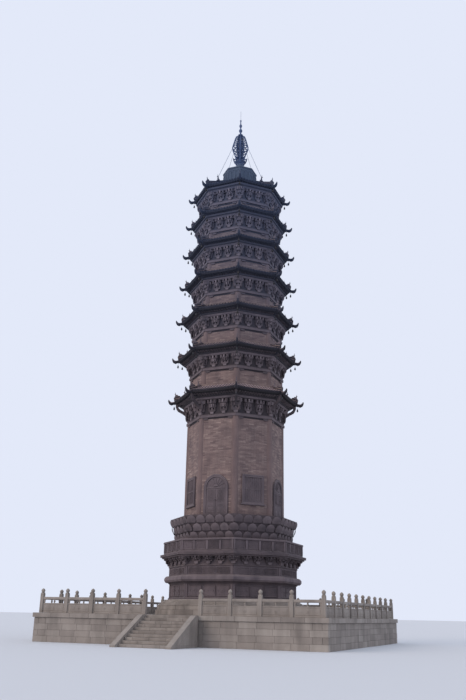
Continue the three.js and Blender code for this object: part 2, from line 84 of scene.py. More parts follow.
# %% Camera
VIEW_DISTANCE = 50.0
EYE_HEIGHT = 1.6
VIEW_TURN = math.radians(22.5)
CAMERA_PITCH = math.radians(19.47)
CAMERA_ROLL = math.radians(1.1)
CAMERA_YAW = math.radians(0.31)
FOCAL_PIXELS = 750.0
PICTURE_HEIGHT = 700
SENSOR_MM = 36.0
FARTHEST = 2000


def make_camera():
    """A camera at the viewer's eye, looking up at the corner of the tower."""
    data = bpy.data.cameras.new("camera")
    data.sensor_width = SENSOR_MM
    data.lens = SENSOR_MM * FOCAL_PIXELS / PICTURE_HEIGHT
    data.clip_end = FARTHEST
    camera = put("camera", data)
    eye = rotate("Z", VIEW_TURN) @ move((0, -VIEW_DISTANCE, EYE_HEIGHT))
    aim = rotate("Z", CAMERA_YAW) @ rotate("X", math.pi / 2 + CAMERA_PITCH)
    camera.matrix_world = eye @ aim @ rotate("Z", CAMERA_ROLL)
    bpy.context.scene.camera = camera
    print("camera lens", round(data.lens, 2), "mm at", tuple(round(v, 2) for v in camera.location))


make_camera()

# %% [markdown]
# ## Floor and light
#
# The floor is a plain pale sheet, and the light is that of a bright overcast evening in a studio:
# an even pale sky with one broad, slightly warm lamp on the left. The left face of the tower is
# then a little lighter and warmer than the right one, and no shadow has a hard edge.

# %% Floor, sky and lamp
FLOOR_SIZE = 1600.0
SKY_HEX = "#e3e9f9"
FLOOR_HEX = "#cfd2d6"
KEY_HEX = "#ffe9d2"
KEY_STRENGTH = 1.1
# Where the lamp stands, seen from the tower, and how broad it looks, all in degrees
KEY_TURN, KEY_HEIGHT, KEY_WIDTH = -38, 24, 40


def linear(hex_colour):
    """Turns an sRGB hex colour into the linear colour that the shader works in."""
    parts = [int(hex_colour[i:i + 2], 16) / 255 for i in (1, 3, 5)]
    return tuple(c / 12.92 if c <= 0.04045 else ((c + 0.055) / 1.055) ** 2.4 for c in parts) + (1.0,)


def make_sky():
    """An even pale sky for the whole scene."""
    world = bpy.data.worlds.new("studio_sky")
    world.use_nodes = True
    background = world.node_tree.nodes["Background"]
    background.inputs["Color"].default_value = linear(SKY_HEX)
    background.inputs["Strength"].default_value = 1.0
    bpy.context.scene.world = world
    bpy.context.scene.view_settings.view_transform = "Standard"


def make_floor():
    """A wide pale floor at the foot of the terrace."""
    bm = bmesh.new()
    bmesh.ops.create_grid(bm, x_segments=2, y_segments=2, size=FLOOR_SIZE / 2)
    mesh = bpy.data.meshes.new("floor")
    bm.to_mesh(mesh)
    bm.free()
    material = bpy.data.materials.new("matt_floor_paint")
    material.use_nodes = True
    shader = material.node_tree.nodes["Principled BSDF"]
    shader.inputs["Base Color"].default_value = linear(FLOOR_HEX)
    shader.inputs["Roughness"].default_value = 0.9
    mesh.materials.append(material)
    put("floor", mesh)


def make_lamp():
    """A very distant lamp with a broad face."""
    data = bpy.data.lights.new("soft_key", "SUN")
    data.energy = KEY_STRENGTH
    data.color = linear(KEY_HEX)[:3]
    data.angle = math.radians(KEY_WIDTH)
    turn, height = math.radians(KEY_TURN), math.radians(KEY_HEIGHT)
    back = Vector((math.sin(turn), -math.cos(turn), math.tan(height)))
    put("soft_key", data).rotation_euler = back.to_track_quat("Z", "Y").to_euler()


make_sky()
make_floor()
make_lamp()
print("stage ready")

# %% [markdown]
# ## Sizes that repeat
#
# The tower has eight sides, and each storey is the same design made a little smaller. So every
# detail is modelled once, against the front face or the front corner, and then turned to the other
# seven. Radii are measured to the corners. A face lies nearer the middle, by the cosine of half the
# angle between two corners.

# %% Sizes of each storey
SIDES = 8
HALF_ANGLE = math.pi / SIDES
FACE = math.cos(HALF_ANGLE)
LEAN = math.tan(HALF_ANGLE)
STOREYS = 7
PURLIN_PROUD = 0.43
PURLIN_DROP = 0.45
UNDERSIDE_DROP = 0.30
LINTEL_HEIGHT = 0.15
HOOK_REACH = 0.45
RIDGE_HALF = 0.075
FOOT_RIDGE = 0.12
FOOT_RIDGE_PROUD = 0.15
SOFFIT_RISE = 0.06

Storey = namedtuple("Storey", "name number radius foot lintel tip edge head_radius head")


def measure_storey(number):
    """Reads one storey's radii and heights from its three solids."""
    wall_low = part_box(f"storey_{number}_wall")[0]
    cornice_low, cornice_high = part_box(f"storey_{number}_cornice")
    eave_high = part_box(f"storey_{number}_eave")[1]
    radius = cornice_high.x / FACE - PURLIN_PROUD
    tip_radius = (eave_high.x - RIDGE_HALF * math.sin(HALF_ANGLE)) / FACE
    if number < STOREYS:
        above_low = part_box(f"storey_{number + 1}_wall")[0]
        head_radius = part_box(f"storey_{number + 1}_cornice")[1].x / FACE - PURLIN_PROUD + FOOT_RIDGE_PROUD
    else:
        above_low, above_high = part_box("finial_bowl")
        head_radius = above_high.x / FACE + FOOT_RIDGE_PROUD
    return Storey(f"storey_{number}", number, radius, wall_low.z, cornice_low.z,
                  cornice_high.z + UNDERSIDE_DROP, tip_radius - HOOK_REACH, head_radius,
                  above_low.z - FOOT_RIDGE)


storeys = [measure_storey(number) for number in range(1, STOREYS + 1)]
for storey in storeys:
    print(storey.name, *(round(v, 3) for v in storey[2:]))


def each_storey(build):
    """Builds one thing on every storey, from the lowest up."""
    for storey in storeys:
        build(storey)


def side_length(radius):
    """Length of one side of the octagon."""
    return 2 * radius * math.sin(HALF_ANGLE)


def in_row(count, pitch):
    """Places in a row about the middle."""
    return [(index - (count - 1) / 2) * pitch for index in range(count)]


def at_face(side, out=0.0, z=0.0, x=0.0):
    """The place out from the axis on a face, counted round from the front, and x along it."""
    return rotate("Z", side * 2 * HALF_ANGLE) @ move((x, -out, z))


def at_corner(corner, out=0.0, z=0.0):
    """The place out from the axis at a corner, counted round from the right end of the front."""
    return at_face(corner + 0.5, out, z)


def at_all(place, out=0.0, z=0.0):
    """The same place on all eight faces, or at all eight corners."""
    return [place(side, out, z) for side in range(SIDES)]


# %% [markdown]
# ## Ways of making shapes
#
# Five small helpers do most of the work. `turned` spins an outline about the tower's axis, like a
# lathe. `block` makes a box. `sweep` drags a section along a path. `lay` adds one copy of a finished
# shape with a tone of its own, so the shader can give each brick or tile its own shade of the same
# clay. `piece` turns the result into a named object in its finish.

# %% Make a shape
FRONT = Matrix.Identity(4)
ACROSS = Vector((1, 0, 0))
CLOSE = 1e-5


def blank():
    """A new bmesh with the layer that holds each part's shade."""
    bm = bmesh.new()
    bm.verts.layers.float.new("tone")
    return bm


def turned(bm, outline, steps=SIDES, ring=False):
    """Spins an outline of (radius, height) points about Z into a closed shape."""
    # A shape with few sides turns a flat one to the front, a rounder one a corner.
    start = math.pi / steps if steps <= SIDES else 0.0
    verts = [bm.verts.new((r * math.sin(start), -r * math.cos(start), z)) for r, z in outline]
    edges = [bm.edges.new(pair) for pair in zip(verts, verts[1:])]
    if ring:
        edges.append(bm.edges.new((verts[-1], verts[0])))
    bmesh.ops.spin(bm, geom=verts + edges, cent=(0, 0, 0), axis=(0, 0, 1), angle=math.tau, steps=steps,
                   use_merge=True)
    bmesh.ops.remove_doubles(bm, verts=bm.verts[:], dist=CLOSE)
    bmesh.ops.recalc_face_normals(bm, faces=bm.faces[:])
    return bm


def block(bm, size, centre, place=FRONT, foot_scale=1.0):
    """A box, narrower at the foot where foot_scale is under 1."""
    verts = bmesh.ops.create_cube(bm, size=1)["verts"]
    for vert in verts:
        if vert.co.z < 0:
            vert.co.x *= foot_scale
            vert.co.y *= foot_scale
    bmesh.ops.transform(bm, matrix=place @ move(centre) @ Matrix.Diagonal((*size, 1)), verts=verts)
    return verts


def ball(bm, centre, size, place=FRONT, rings=4):
    """A ball, stretched to its three half sizes."""
    matrix = place @ move(centre) @ Matrix.Diagonal((*size, 1))
    bmesh.ops.create_uvsphere(bm, u_segments=8, v_segments=rings, radius=1.0, matrix=matrix)


def tapered_bar(bm, segments, radius, far_radius, length):
    """A round bar from y = 0 outwards."""
    bmesh.ops.create_cone(bm, cap_ends=True, segments=segments, radius1=radius, radius2=far_radius,
                          depth=length, matrix=move((0, -length / 2, 0)) @ rotate("X", math.pi / 2))


def box_section(half, low, high):
    """A rectangle of (across, up) points about the middle."""
    return [(-half, low), (half, low), (half, high), (-half, high)]


def circle(radius, count):
    """A round section of (across, up) points."""
    return [(radius * math.cos(math.tau * i / count), radius * math.sin(math.tau * i / count))
            for i in range(count)]


def sweep(bm, section, path, scales=None):
    """Drags a section of (across, up) points along (out, up) points in a corner's plane."""
    path = [Vector((0, -out, z)) for out, z in path]
    rings = []
    for index, point in enumerate(path):
        along = (path[min(index + 1, len(path) - 1)] - path[max(index - 1, 0)]).normalized()
        up = along.cross(ACROSS)
        scale = scales[index] if scales else 1.0
        rings.append([bm.verts.new(point + scale * (ACROSS * a + up * b)) for a, b in section])
    edges = [[bm.edges.new((ring[i - 1], ring[i])) for i in range(len(ring))] for ring in rings]
    for first, second in zip(edges, edges[1:]):
        bmesh.ops.bridge_loops(bm, edges=first + second)
    for ring in (rings[0], rings[-1]):
        bm.faces.new(ring)
    faces = {face for ring in rings for vert in ring for face in vert.link_faces}
    bmesh.ops.recalc_face_normals(bm, faces=list(faces))


def extruded(bm, faces, step=(0, 0, 0)):
    """Extrudes faces by a step, and gives back the new faces and points."""
    made = bmesh.ops.extrude_face_region(bm, geom=faces)["geom"]
    faces, verts = ([item for item in made if isinstance(item, kind)]
                    for kind in (bmesh.types.BMFace, bmesh.types.BMVert))
    bmesh.ops.translate(bm, vec=step, verts=verts)
    return faces, verts


# %% Lay it and name it
def template(name, bm):
    """Keeps a shape as a mesh that can be laid many times."""
    mesh = bpy.data.meshes.new(name)
    bm.to_mesh(mesh)
    bm.free()
    return mesh


def lay(bm, shape, place, tone=0.5):
    """Adds one copy of a kept shape, with one shade or with the shades that it has."""
    copy = shape.copy()
    copy.transform(place)
    if tone is not None:
        copy.attributes["tone"].data.foreach_set("value", [tone] * len(copy.vertices))
    bm.from_mesh(copy)
    bpy.data.meshes.remove(copy)


def lay_all(bm, part, places, tone=0.5):
    """Adds a shape at each of some places, and doesn't keep it."""
    shape = template("part", part)
    for place in places:
        lay(bm, shape, place, tone)
    bpy.data.meshes.remove(shape)


def lay_once(bm, part, place=FRONT, tone=0.5):
    """Adds a shape that is used only once."""
    lay_all(bm, part, [place], tone)


def unit_box():
    """A one metre cube to lay as bricks and beams."""
    bm = blank()
    bmesh.ops.create_cube(bm, size=1)
    return template("unit_box", bm)


UNIT_BOX = unit_box()


def lay_box(bm, size, centre, place=FRONT, tone=0.5):
    """Adds a box with its own shade."""
    lay(bm, UNIT_BOX, place @ move(centre) @ Matrix.Diagonal((*size, 1)), tone)


def lay_turned(bm, outline, tone=0.5, steps=SIDES, ring=False):
    """Adds a turned shape with its own shade."""
    lay_once(bm, turned(blank(), outline, steps, ring), FRONT, tone)


def lay_core(bm, radius, low, high, lower=((0, 0),), upper=((0, 0),), tone=0.0):
    """Adds a turned core. Points lie beyond the radius: the lower above low, the upper above high."""
    outline = [(radius + r, z + up) for z, points in ((low, lower), (high, upper)) for r, up in points]
    lay_turned(bm, [(0, low), *outline, (0, high)], tone)


def piece(name, bm, finish, stands_for=(), smooth_under=30):
    """Makes a named object from a bmesh, in its finish, riding on the tower."""
    mesh = template(name, bm)
    mesh.materials.append(finish)
    mesh.polygons.foreach_set("use_smooth", [True] * len(mesh.polygons))
    mesh.set_sharp_from_angle(angle=math.radians(smooth_under))
    made = put(name, mesh)
    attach(made, "root")
    if stands_for:
        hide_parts(*stands_for)
    print(name, sum(len(p.vertices) - 2 for p in mesh.polygons), "triangles")


# %% [markdown]
# ## Fired brick, tile and mortar
#
# The bricks are grey clay, fired with little air and then coloured brown by dust. Each brick has its
# own shade from the kiln, so the shader reads the tone that `lay` stored. Over that come soot in
# streaks where rain runs down, pale dust on what faces the sky, dark grime on what faces down and is
# never washed, which is also painted shade under every ledge, and a cooler, bluer grey higher up the
# tower. The clay has no gloss.

# %% Shader nodes
MM = 0.001


def add(tree, kind, settings=None):
    """Adds a shader node. A setting is a property, the value of an input, or a socket to link to it."""
    node = tree.nodes.new("ShaderNode" + kind)
    for key, value in (settings or {}).items():
        if isinstance(value, bpy.types.NodeSocket):
            tree.links.new(value, node.inputs[key])
        elif isinstance(key, int) or not hasattr(node, key):
            node.inputs[key].default_value = value
        else:
            setattr(node, key, value)
    return node


def start_material(name):
    """An empty material with its shader, and the place of each point on the object."""
    material = bpy.data.materials.new(name)
    material.use_nodes = True
    tree = material.node_tree
    return material, tree, tree.nodes["Principled BSDF"], add(tree, "TexCoord").outputs["Object"]


def noise(tree, where, scale, detail=3.0):
    """Cloudy noise."""
    return add(tree, "TexNoise", {"Scale": scale, "Detail": detail, "Vector": where}).outputs["Fac"]


def times(tree, value, factor, plus=None):
    """A value times a number or a second value, plus a third where there is one."""
    settings = {"operation": "MULTIPLY", 0: value, 1: factor}
    if plus is not None:
        settings.update({"operation": "MULTIPLY_ADD", 2: plus})
    return add(tree, "Math", settings).outputs[0]


def upright(tree, vector):
    """How far up a vector points."""
    return add(tree, "SeparateXYZ", {"Vector": vector}).outputs["Z"]


def mix(tree, amount, first, second_hex):
    """Mixes towards a second colour."""
    settings = {"data_type": "RGBA", 0: amount, 6: first, 7: linear(second_hex)}
    return add(tree, "Mix", settings).outputs[2]


def shades_of(tree, value, stops):
    """Colours a value by stops of (position, hex)."""
    node = add(tree, "ValToRGB", {"Fac": value})
    node.color_ramp.elements.new(0.5)
    for element, (position, shade_hex) in zip(node.color_ramp.elements, stops):
        element.position, element.color = position, linear(shade_hex)
    return node.outputs["Color"]


def ramp_between(tree, value, start, stop, amount, foot=0.0):
    """Goes from foot at start to amount at stop."""
    settings = {"From Min": start, "From Max": stop, "To Min": foot, "To Max": amount, "Value": value}
    return add(tree, "MapRange", settings).outputs["Result"]


def surface(tree, shader, colour, roughness, height, strength, depth_mm):
    """Gives a shader its colour, its roughness and the fine relief of a height."""
    tree.links.new(colour, shader.inputs["Base Color"])
    shader.inputs["Roughness"].default_value = roughness
    bump = add(tree, "Bump", {"Strength": strength, "Distance": depth_mm * MM, "Height": height})
    tree.links.new(bump.outputs["Normal"], shader.inputs["Normal"])


# %% Wear, and painted shade underneath, that every finish shares
# Each pair is where one kind of wear or the painted shade starts and where it is complete: by
# height, by how far up a surface points, or by how dark the noise is.
COOL_HEIGHTS, DUST_LEAVES = (17.0, 33.0), (16.0, 23.0)
FACING_DOWN, FACING_UP = (-0.4, -0.95), (0.25, 0.8)
SOOTY, GRIME_AND_SHADE = (0.14, 0.42), 0.35
STREAK_WIDTH, STREAK_LENGTH, PATCH_SCALE = 0.42, 1.9, 1.1


def weathered(tree, where, colour, soot, soot_amount, dust, dust_amount, cool="#56698c", cool_amount=0.4,
              dust_aloft=1.0):
    """Adds streaks of soot, dust on top, grime and painted shade underneath, and the cooler grey high up."""
    # Noise drawn out downwards, as rain draws dirt down a wall
    scale = (1 / STREAK_WIDTH, 1 / STREAK_WIDTH, 1 / STREAK_LENGTH)
    drawn_out = add(tree, "Mapping", {"Scale": scale, "Vector": where}).outputs["Vector"]
    dirt = times(tree, noise(tree, drawn_out, 1.0), noise(tree, where, PATCH_SCALE))
    colour = mix(tree, ramp_between(tree, dirt, *SOOTY, soot_amount), colour, soot)
    upward = upright(tree, add(tree, "TexCoord").outputs["Normal"])
    # Darker on what faces down: grime, and painted shade under every ledge.
    colour = mix(tree, ramp_between(tree, upward, *FACING_DOWN, GRIME_AND_SHADE), colour, soot)
    height = upright(tree, where)
    lying = times(tree, ramp_between(tree, upward, *FACING_UP, dust_amount),
                  ramp_between(tree, height, *DUST_LEAVES, dust_aloft, 1.0))
    colour = mix(tree, lying, colour, dust)
    return mix(tree, ramp_between(tree, height, *COOL_HEIGHTS, cool_amount), colour, cool)


# %% Clay finishes
CLAY_STOPS = (0.12, 0.5, 0.85)
KILN_SHARE, GRAIN_SHARE = 0.65, 0.35


def fired_clay(name, shades, soot, soot_amount=0.5, dust="#7b6f6c", dust_amount=0.45, grain_mm=18,
               **aloft):
    """Porous fired clay: the shade of each piece, its wear, and a grain that catches the light."""
    material, tree, shader, where = start_material(name)
    tone = add(tree, "Attribute", {"attribute_name": "tone"}).outputs["Fac"]
    # Real grain is about 2 mm; it is drawn coarser so that it shows from the ground.
    speckle = noise(tree, where, 1 / (grain_mm * MM), 4.0)
    shade = times(tree, tone, KILN_SHARE, times(tree, speckle, GRAIN_SHARE))
    clay = shades_of(tree, shade, zip(CLAY_STOPS, shades))
    colour = weathered(tree, where, clay, soot, soot_amount, dust, dust_amount, **aloft)
    surface(tree, shader, colour, 0.92, speckle, 0.5, 4)
    return material


WALL_BRICK = fired_clay("weathered_grey_brick", ("#615153", "#86726e", "#a39089"), "#463d44",
                        cool="#465b7a", cool_amount=0.62)
# The darkest shade of the moulded brick is painted shade: the core behind the bracket sets, the cove and
# eave beam, and the line under the lintel are laid in it.
CARVED_BRICK = fired_clay("moulded_grey_brick", ("#2f2a2f", "#5f5458", "#85797e"), "#2f2d35")
ROOF_TILE = fired_clay("unglazed_grey_tile", ("#222129", "#2f2d36", "#403e48"), "#1d1c24", 0.4, "#a89496",
                       0.9, 25, cool="#2e4160", cool_amount=0.65, dust_aloft=0.1)
# The eave brick is nearly black: painted shade for the dark band under each eave.
EAVE_BRICK = fired_clay("eave_brick_painted_shade", ("#1d1b20", "#37333a", "#7a6f73"), "#1c1a1f", 0.4,
                        cool="#2f3f5c", cool_amount=0.55)
LIME_MORTAR = fired_clay("lime_mortar", ("#5b5152", "#6d6263", "#827879"), "#3b383c", 0.6, grain_mm=10)
COOL_BRICK = fired_clay("blue_grey_brick", ("#363e46", "#414b54", "#535d66"), "#282f37", 0.5, "#5c6670", 0.4)
print("brick, moulded brick, tile and mortar ready")

# %% [markdown]
# ## Walls
#
# A wall of this kind is grey brick, about 370 mm long and 70 mm high, laid in stretchers with each
# course shifted by half a brick. The mortar body is an eight-sided prism, and the bricks stand 12 mm
# proud of it. Some lie a hair deeper than their neighbours, which gives the courses a hand-laid edge.
# A round column stands at each corner.

# %% Lay the brick walls
BRICK_LENGTH = 0.37
BRICK_COURSE = 0.08
BRICK_JOINT = 0.010
BRICK_PROUD = 0.012
BRICK_DEPTH = 0.05
SHORTEST_BRICK = 0.04
COLUMN_RADIUS = 0.24
COLUMN_INSET = 0.19
# The columns are laid darker than the wall bricks: painted shade for the side of each column that turns from
# the lamp.
COLUMN_SHADED_TONE = 0.27


def door_or_window(side, x, z):
    """True where a false door or window of the first storey covers the brick."""
    above = z - storeys[0].foot
    if side % 2 == 0:
        return abs(x) < 0.62 and above < 1.9
    return abs(x) < 0.6 and 0.95 < above < 2.35


def brick_courses(bm, storey):
    """Lays all eight faces of one storey with courses of brick."""
    height = storey.lintel - storey.foot
    courses = max(1, round(height / BRICK_COURSE))
    rise = height / courses
    reach = side_length(storey.radius) / 2 - COLUMN_INSET
    middle = storey.radius * FACE - BRICK_DEPTH / 2
    for side in range(SIDES):
        for course in range(courses):
            z = storey.foot + (course + 0.5) * rise
            left = -reach - (course % 2) * BRICK_LENGTH / 2 - chance.uniform(0.0, 0.02)
            while left < reach:
                start, stop = max(left, -reach), min(left + BRICK_LENGTH - BRICK_JOINT, reach)
                left += BRICK_LENGTH
                x, length = (start + stop) / 2, stop - start
                if length < SHORTEST_BRICK or (storey.number == 1 and door_or_window(side, x, z)):
                    continue
                centre = (x, -(middle + chance.uniform(-0.003, 0.003)), z)
                size = (length, BRICK_DEPTH, rise - BRICK_JOINT)
                lay_box(bm, size, centre, at_face(side), chance.gauss(0.5, 0.17))


def corner_columns(bm, storey):
    """A round brick column at each corner, its courses marked by narrow joints."""
    courses = round((storey.lintel - storey.foot) / (2 * BRICK_COURSE))
    rise = (storey.lintel - storey.foot) / courses
    outline = [(0, storey.foot)]
    for course in range(courses):
        z = storey.foot + course * rise
        outline += [(COLUMN_RADIUS, z), (COLUMN_RADIUS, z + rise - BRICK_JOINT),
                    (COLUMN_RADIUS - BRICK_JOINT, z + rise)]
    column = turned(blank(), outline + [(0, storey.lintel)], 16)
    lay_all(bm, column, at_all(at_corner, storey.radius - COLUMN_INSET), COLUMN_SHADED_TONE)


def build_wall(storey):
    """One storey's wall: mortar body, bricks and corner columns."""
    body, bricks, columns = blank(), blank(), blank()
    lay_core(body, storey.radius - BRICK_PROUD / FACE, storey.foot, storey.lintel)
    piece(f"{storey.name}_mortar", body, LIME_MORTAR, [f"{storey.name}_wall"])
    brick_courses(bricks, storey)
    piece(f"{storey.name}_bricks", bricks, WALL_BRICK)
    corner_columns(columns, storey)
    piece(f"{storey.name}_columns", columns, WALL_BRICK)


each_storey(build_wall)

# %% [markdown]
# ## Bracket sets
#
# Under each eave stands a row of bracket sets, which copy a timber frame in moulded brick. Each set
# grows outwards in three tiers: an arm along the wall, an arm straight out, two arms at 45 degrees,
# and small blocks that pass the load on to the next tier. The arms have rounded lower ends. A set
# on each corner turns the row round to the next face. All of it stands on a double lintel whose
# ends cross at the corners.

# %% Bracket templates
TIERS = 3
BASE_BLOCK = 0.14
SETS_PER_FACE = 2
# Sets of each kind that are made, for chance to pick from
VARIANTS = 3
SET_REACH = 0.25
ARM_THICK = 0.09
# Share of a tier's height that its arms fill. Small blocks fill the rest.
ARM_SHARE = 0.58
# The cap at the end of an arm, and how much narrower it is at its foot
CAP, CAP_HEIGHT, CAP_FOOT = 0.12, 0.08, 0.7
# Tones of the arms along the wall, straight out and swung, and what each tier adds. The arms
# along the wall are laid darker than those that stand out: painted shade near the wall and painted
# light on what stands out. The top arms are the lightest: painted light against the shade of the eave.
ACROSS_TONE, STRAIGHT_TONE, SWUNG_TONE, FAN_TONE = 0.4, 0.85, 0.6, 0.75
TIER_TONES = (0.0, -0.05, 0.15)
LINTEL_DROP = 0.02
TOP_BEAM = 0.16
# The corbel under each end of a lintel: length, height and thickness, and how far in and down it is
CORBEL, CORBEL_INSET, CORBEL_DROP = (0.34, 0.13, 0.16), 0.36, 0.15
# The light fillet: its height, and by how much it sinks and darkens with each storey above the third
FILLET, FILLET_SINKS, FILLET_DARKENS = 0.12, 0.02, 0.12
STRUT_SECTION = box_section(0.07, -0.09, 0.09)
# The long arm under each corner of the lowest eave: distance from the wall's corner, drop below the tip
STRUT_CURVE = [(-0.03, 1.2), (0.2, 0.96), (0.4, 0.82), (0.62, 0.7), (0.76, 0.57), (0.82, 0.42), (0.82, 0.2)]
# Each beam of the lintel: how far its ends and its face stand out, its lower and upper edge, its tone
# The first beam, just under the lintel, is laid dark: a painted shadow line.
LINTEL_BEAMS = [(-0.1, 0.02, -0.17, -0.07, -0.1), (0.08, 0.10, -0.07, 0.09, 0.6),
                (0.05, 0.06, 0.09, 0.15, 0.4)]


def arm(bm, length, height, thickness, centre, angle=0.0, both_ends=True):
    """A bracket arm along X with rounded lower ends, turned about Z by an angle."""
    verts = block(bm, (length, thickness, height), (0, 0, 0))
    edges = [edge for edge in {edge for vert in verts for edge in vert.link_edges}
             if all(vert.co.z < 0 for vert in edge.verts) and (both_ends or edge.verts[0].co.x > 0)
             and abs(edge.verts[0].co.x - edge.verts[1].co.x) < CLOSE]
    rounded = bmesh.ops.bevel(bm, geom=edges, offset=height * 0.75, segments=2, profile=0.5,
                              affect="EDGES", material=-1)
    verts = {vert for vert in verts if vert.is_valid} | set(rounded["verts"])
    bmesh.ops.transform(bm, matrix=move(centre) @ rotate("Z", angle), verts=list(verts))


def out_arm(bm, length, height, z, swing=0.0):
    """An arm from the wall outwards, swung from straight out, with a cap at its end."""
    angle = swing - math.pi / 2
    x, y = math.cos(angle), math.sin(angle)
    arm(bm, length, height, ARM_THICK, (x * length / 2, y * length / 2, z), angle, both_ends=False)
    cap = (x * (length - 0.05), y * (length - 0.05), z + height / 2 + CAP_HEIGHT / 2)
    block(bm, (CAP, CAP, CAP_HEIGHT), cap, foot_scale=CAP_FOOT)


def tier_reach(tier):
    """How far the arms of one tier reach out from the wall. The lowest ones hardly leave it."""
    return SET_REACH * (tier + 0.35) / (TIERS - 0.65)


def tier_arms(zone):
    """For each tier its number, and the foot, height and reach of its arms."""
    rise = (zone - BASE_BLOCK) / TIERS
    return [(tier, BASE_BLOCK + tier * rise, rise * ARM_SHARE, tier_reach(tier) + CAP / 2)
            for tier in range(TIERS)]


def bracket_tiers(bm, zone, place, full_width):
    """The tiers of one set, facing the way that place points. Each kind of arm has its own shade."""
    for tier, z, height, reach in tier_arms(zone):
        along = -(0.02 + 0.8 * tier_reach(max(tier - 1, 0)))
        width = full_width * (0.88 + 0.11 * tier)
        rest = height / ARM_SHARE - height
        across, straight, swung = blank(), blank(), blank()
        arm(across, width, height, ARM_THICK, (0, along, z + height / 2))
        for x in ((CAP - width) / 2, 0, (width - CAP) / 2):
            block(across, (CAP, CAP, rest), (x, along, z + height + rest / 2), foot_scale=CAP_FOOT)
        out_arm(straight, reach, height, z + height / 2)
        if tier > 0:
            for swing in (-math.pi / 4, math.pi / 4):
                out_arm(swung, reach * 1.15, height, z + height / 2, swing)
        for part, tone in ((across, ACROSS_TONE), (straight, STRAIGHT_TONE), (swung, SWUNG_TONE)):
            lay_once(bm, part, place, tone + TIER_TONES[tier] + chance.uniform(-0.2, 0.2))


def set_on_block(size, y):
    """A new set with the block that carries it."""
    bm, base = blank(), blank()
    block(base, size, (0, y, BASE_BLOCK / 2), foot_scale=0.72)
    lay_once(bm, base, FRONT, 0.8)
    return bm


def face_set(zone):
    """A bracket set for the middle of a wall."""
    bm = set_on_block((0.26, 0.16, BASE_BLOCK), -0.05)
    bracket_tiers(bm, zone, FRONT, 0.6)
    return template("face_set", bm)


def corner_set(zone):
    """A bracket set for a corner, with arms along both walls and a fan of arms out of the corner."""
    bm = set_on_block((0.3, 0.3, BASE_BLOCK), 0.03)
    for side in (-1, 1):
        bracket_tiers(bm, zone, rotate("Z", side * HALF_ANGLE), 0.68)
    for tier, z, height, reach in tier_arms(zone):
        fan = blank()
        for swing in (-0.9, -0.45, 0, 0.45, 0.9) if tier else (0,):
            out_arm(fan, reach / FACE, height, z + height / 2, swing)
        lay_once(bm, fan, FRONT, FAN_TONE + TIER_TONES[tier])
    return template("corner_set", bm)


# %% Set the brackets under each eave
def build_brackets(storey):
    """Lintel, bracket sets, top beam and eave purlin of one storey."""
    lintel = storey.lintel - LINTEL_DROP * (storey.number - 1)
    foot, purlin = lintel + LINTEL_HEIGHT, storey.tip - PURLIN_DROP
    head = purlin - TOP_BEAM
    face, length = storey.radius * FACE, side_length(storey.radius)
    bm, beams = blank(), blank()
    # The core behind the sets is laid at the darkest tone: painted shade in the recesses between them.
    lay_core(bm, storey.radius + 0.01, foot, purlin, tone=0.02)
    inner, outer = ([make(head - foot) for _ in range(VARIANTS)] for make in (face_set, corner_set))
    for side in range(SIDES):
        for index in range(SETS_PER_FACE):
            x = length * ((index + 1) / (SETS_PER_FACE + 1) - 0.5)
            lay(bm, chance.choice(inner), at_face(side, face, foot, x), None)
        lay(bm, chance.choice(outer), at_corner(side, storey.radius, foot), None)
    for shape in inner + outer:
        bpy.data.meshes.remove(shape)
    piece(f"{storey.name}_brackets", bm, CARVED_BRICK, [f"{storey.name}_cornice"])
    for side in range(SIDES):
        for overhang, proud, low, high, tone in LINTEL_BEAMS:
            size = (length + 2 * overhang, 0.2 + proud, high - low)
            lay_box(beams, size, (0, 0.1 - face - proud / 2, lintel + (low + high) / 2), at_face(side), tone)
        for end in (-1, 1):
            corbel = blank()
            arm(corbel, *CORBEL, (end * (length / 2 - CORBEL_INSET), 0.02 - face, lintel - CORBEL_DROP))
            lay_once(beams, corbel, at_face(side), 0.45)
    wall, out, top = storey.radius + 0.05, storey.radius + PURLIN_PROUD, storey.tip - UNDERSIDE_DROP
    # From below, a higher eave shows more of its dark beam, so the light fillet under it sits lower.
    higher = max(0, storey.number - 3)
    low = purlin - 0.01 - FILLET_SINKS * higher
    cove = [(wall, head), (out - 0.24, head), (out - 0.22, head + 0.03), (out - 0.07, purlin),
            (wall, purlin)]
    fillet = [(wall, low - FILLET), (out - 0.14, low - FILLET), (out - 0.06, low), (wall, low)]
    beam = [(wall, purlin), (out, purlin), (out + 0.015, purlin + 0.03), (out + 0.015, top - 0.03),
            (out, top), (wall, top)]
    # The cove and the eave beam are laid at the darkest tone: painted shade for the dark band under the
    # eave.
    for outline, tone in ((cove, 0.0), (fillet, 0.75 - FILLET_DARKENS * higher), (beam, 0.0)):
        lay_turned(beams, outline, tone, ring=True)
    if storey.number == 1:
        strut = blank()
        sweep(strut, STRUT_SECTION, [(storey.radius + out, storey.tip - drop) for out, drop in STRUT_CURVE])
        lay_all(beams, strut, at_all(at_corner), 0.3)
    piece(f"{storey.name}_lintel_and_purlin", beams, CARVED_BRICK)


each_storey(build_brackets)

# %% [markdown]
# ## Rafters and tiled roofs
#
# Each eave is a short lean-to roof. Round rafters carry it, with square flying rafters on top of
# them that reach further out. The roof sheet sags a little in the middle of each side and lifts
# towards the corners. It is covered with pan tiles, and half-round cover tiles run over their
# joints. A round end tile closes each row of covers, and a pointed drip tile hangs between two rows.

# %% The roof surface
EDGE_SAG = 0.09
CORNER_LIFT = 0.06
ROOF_DIP = 0.05
BED_BELOW_TILES = 0.02


def lift_at(x, out):
    """How much of the corner's lift the roof has at x along a face and out from the axis."""
    return CORNER_LIFT * min(1.0, abs(x) / (out * LEAN)) ** 2.6


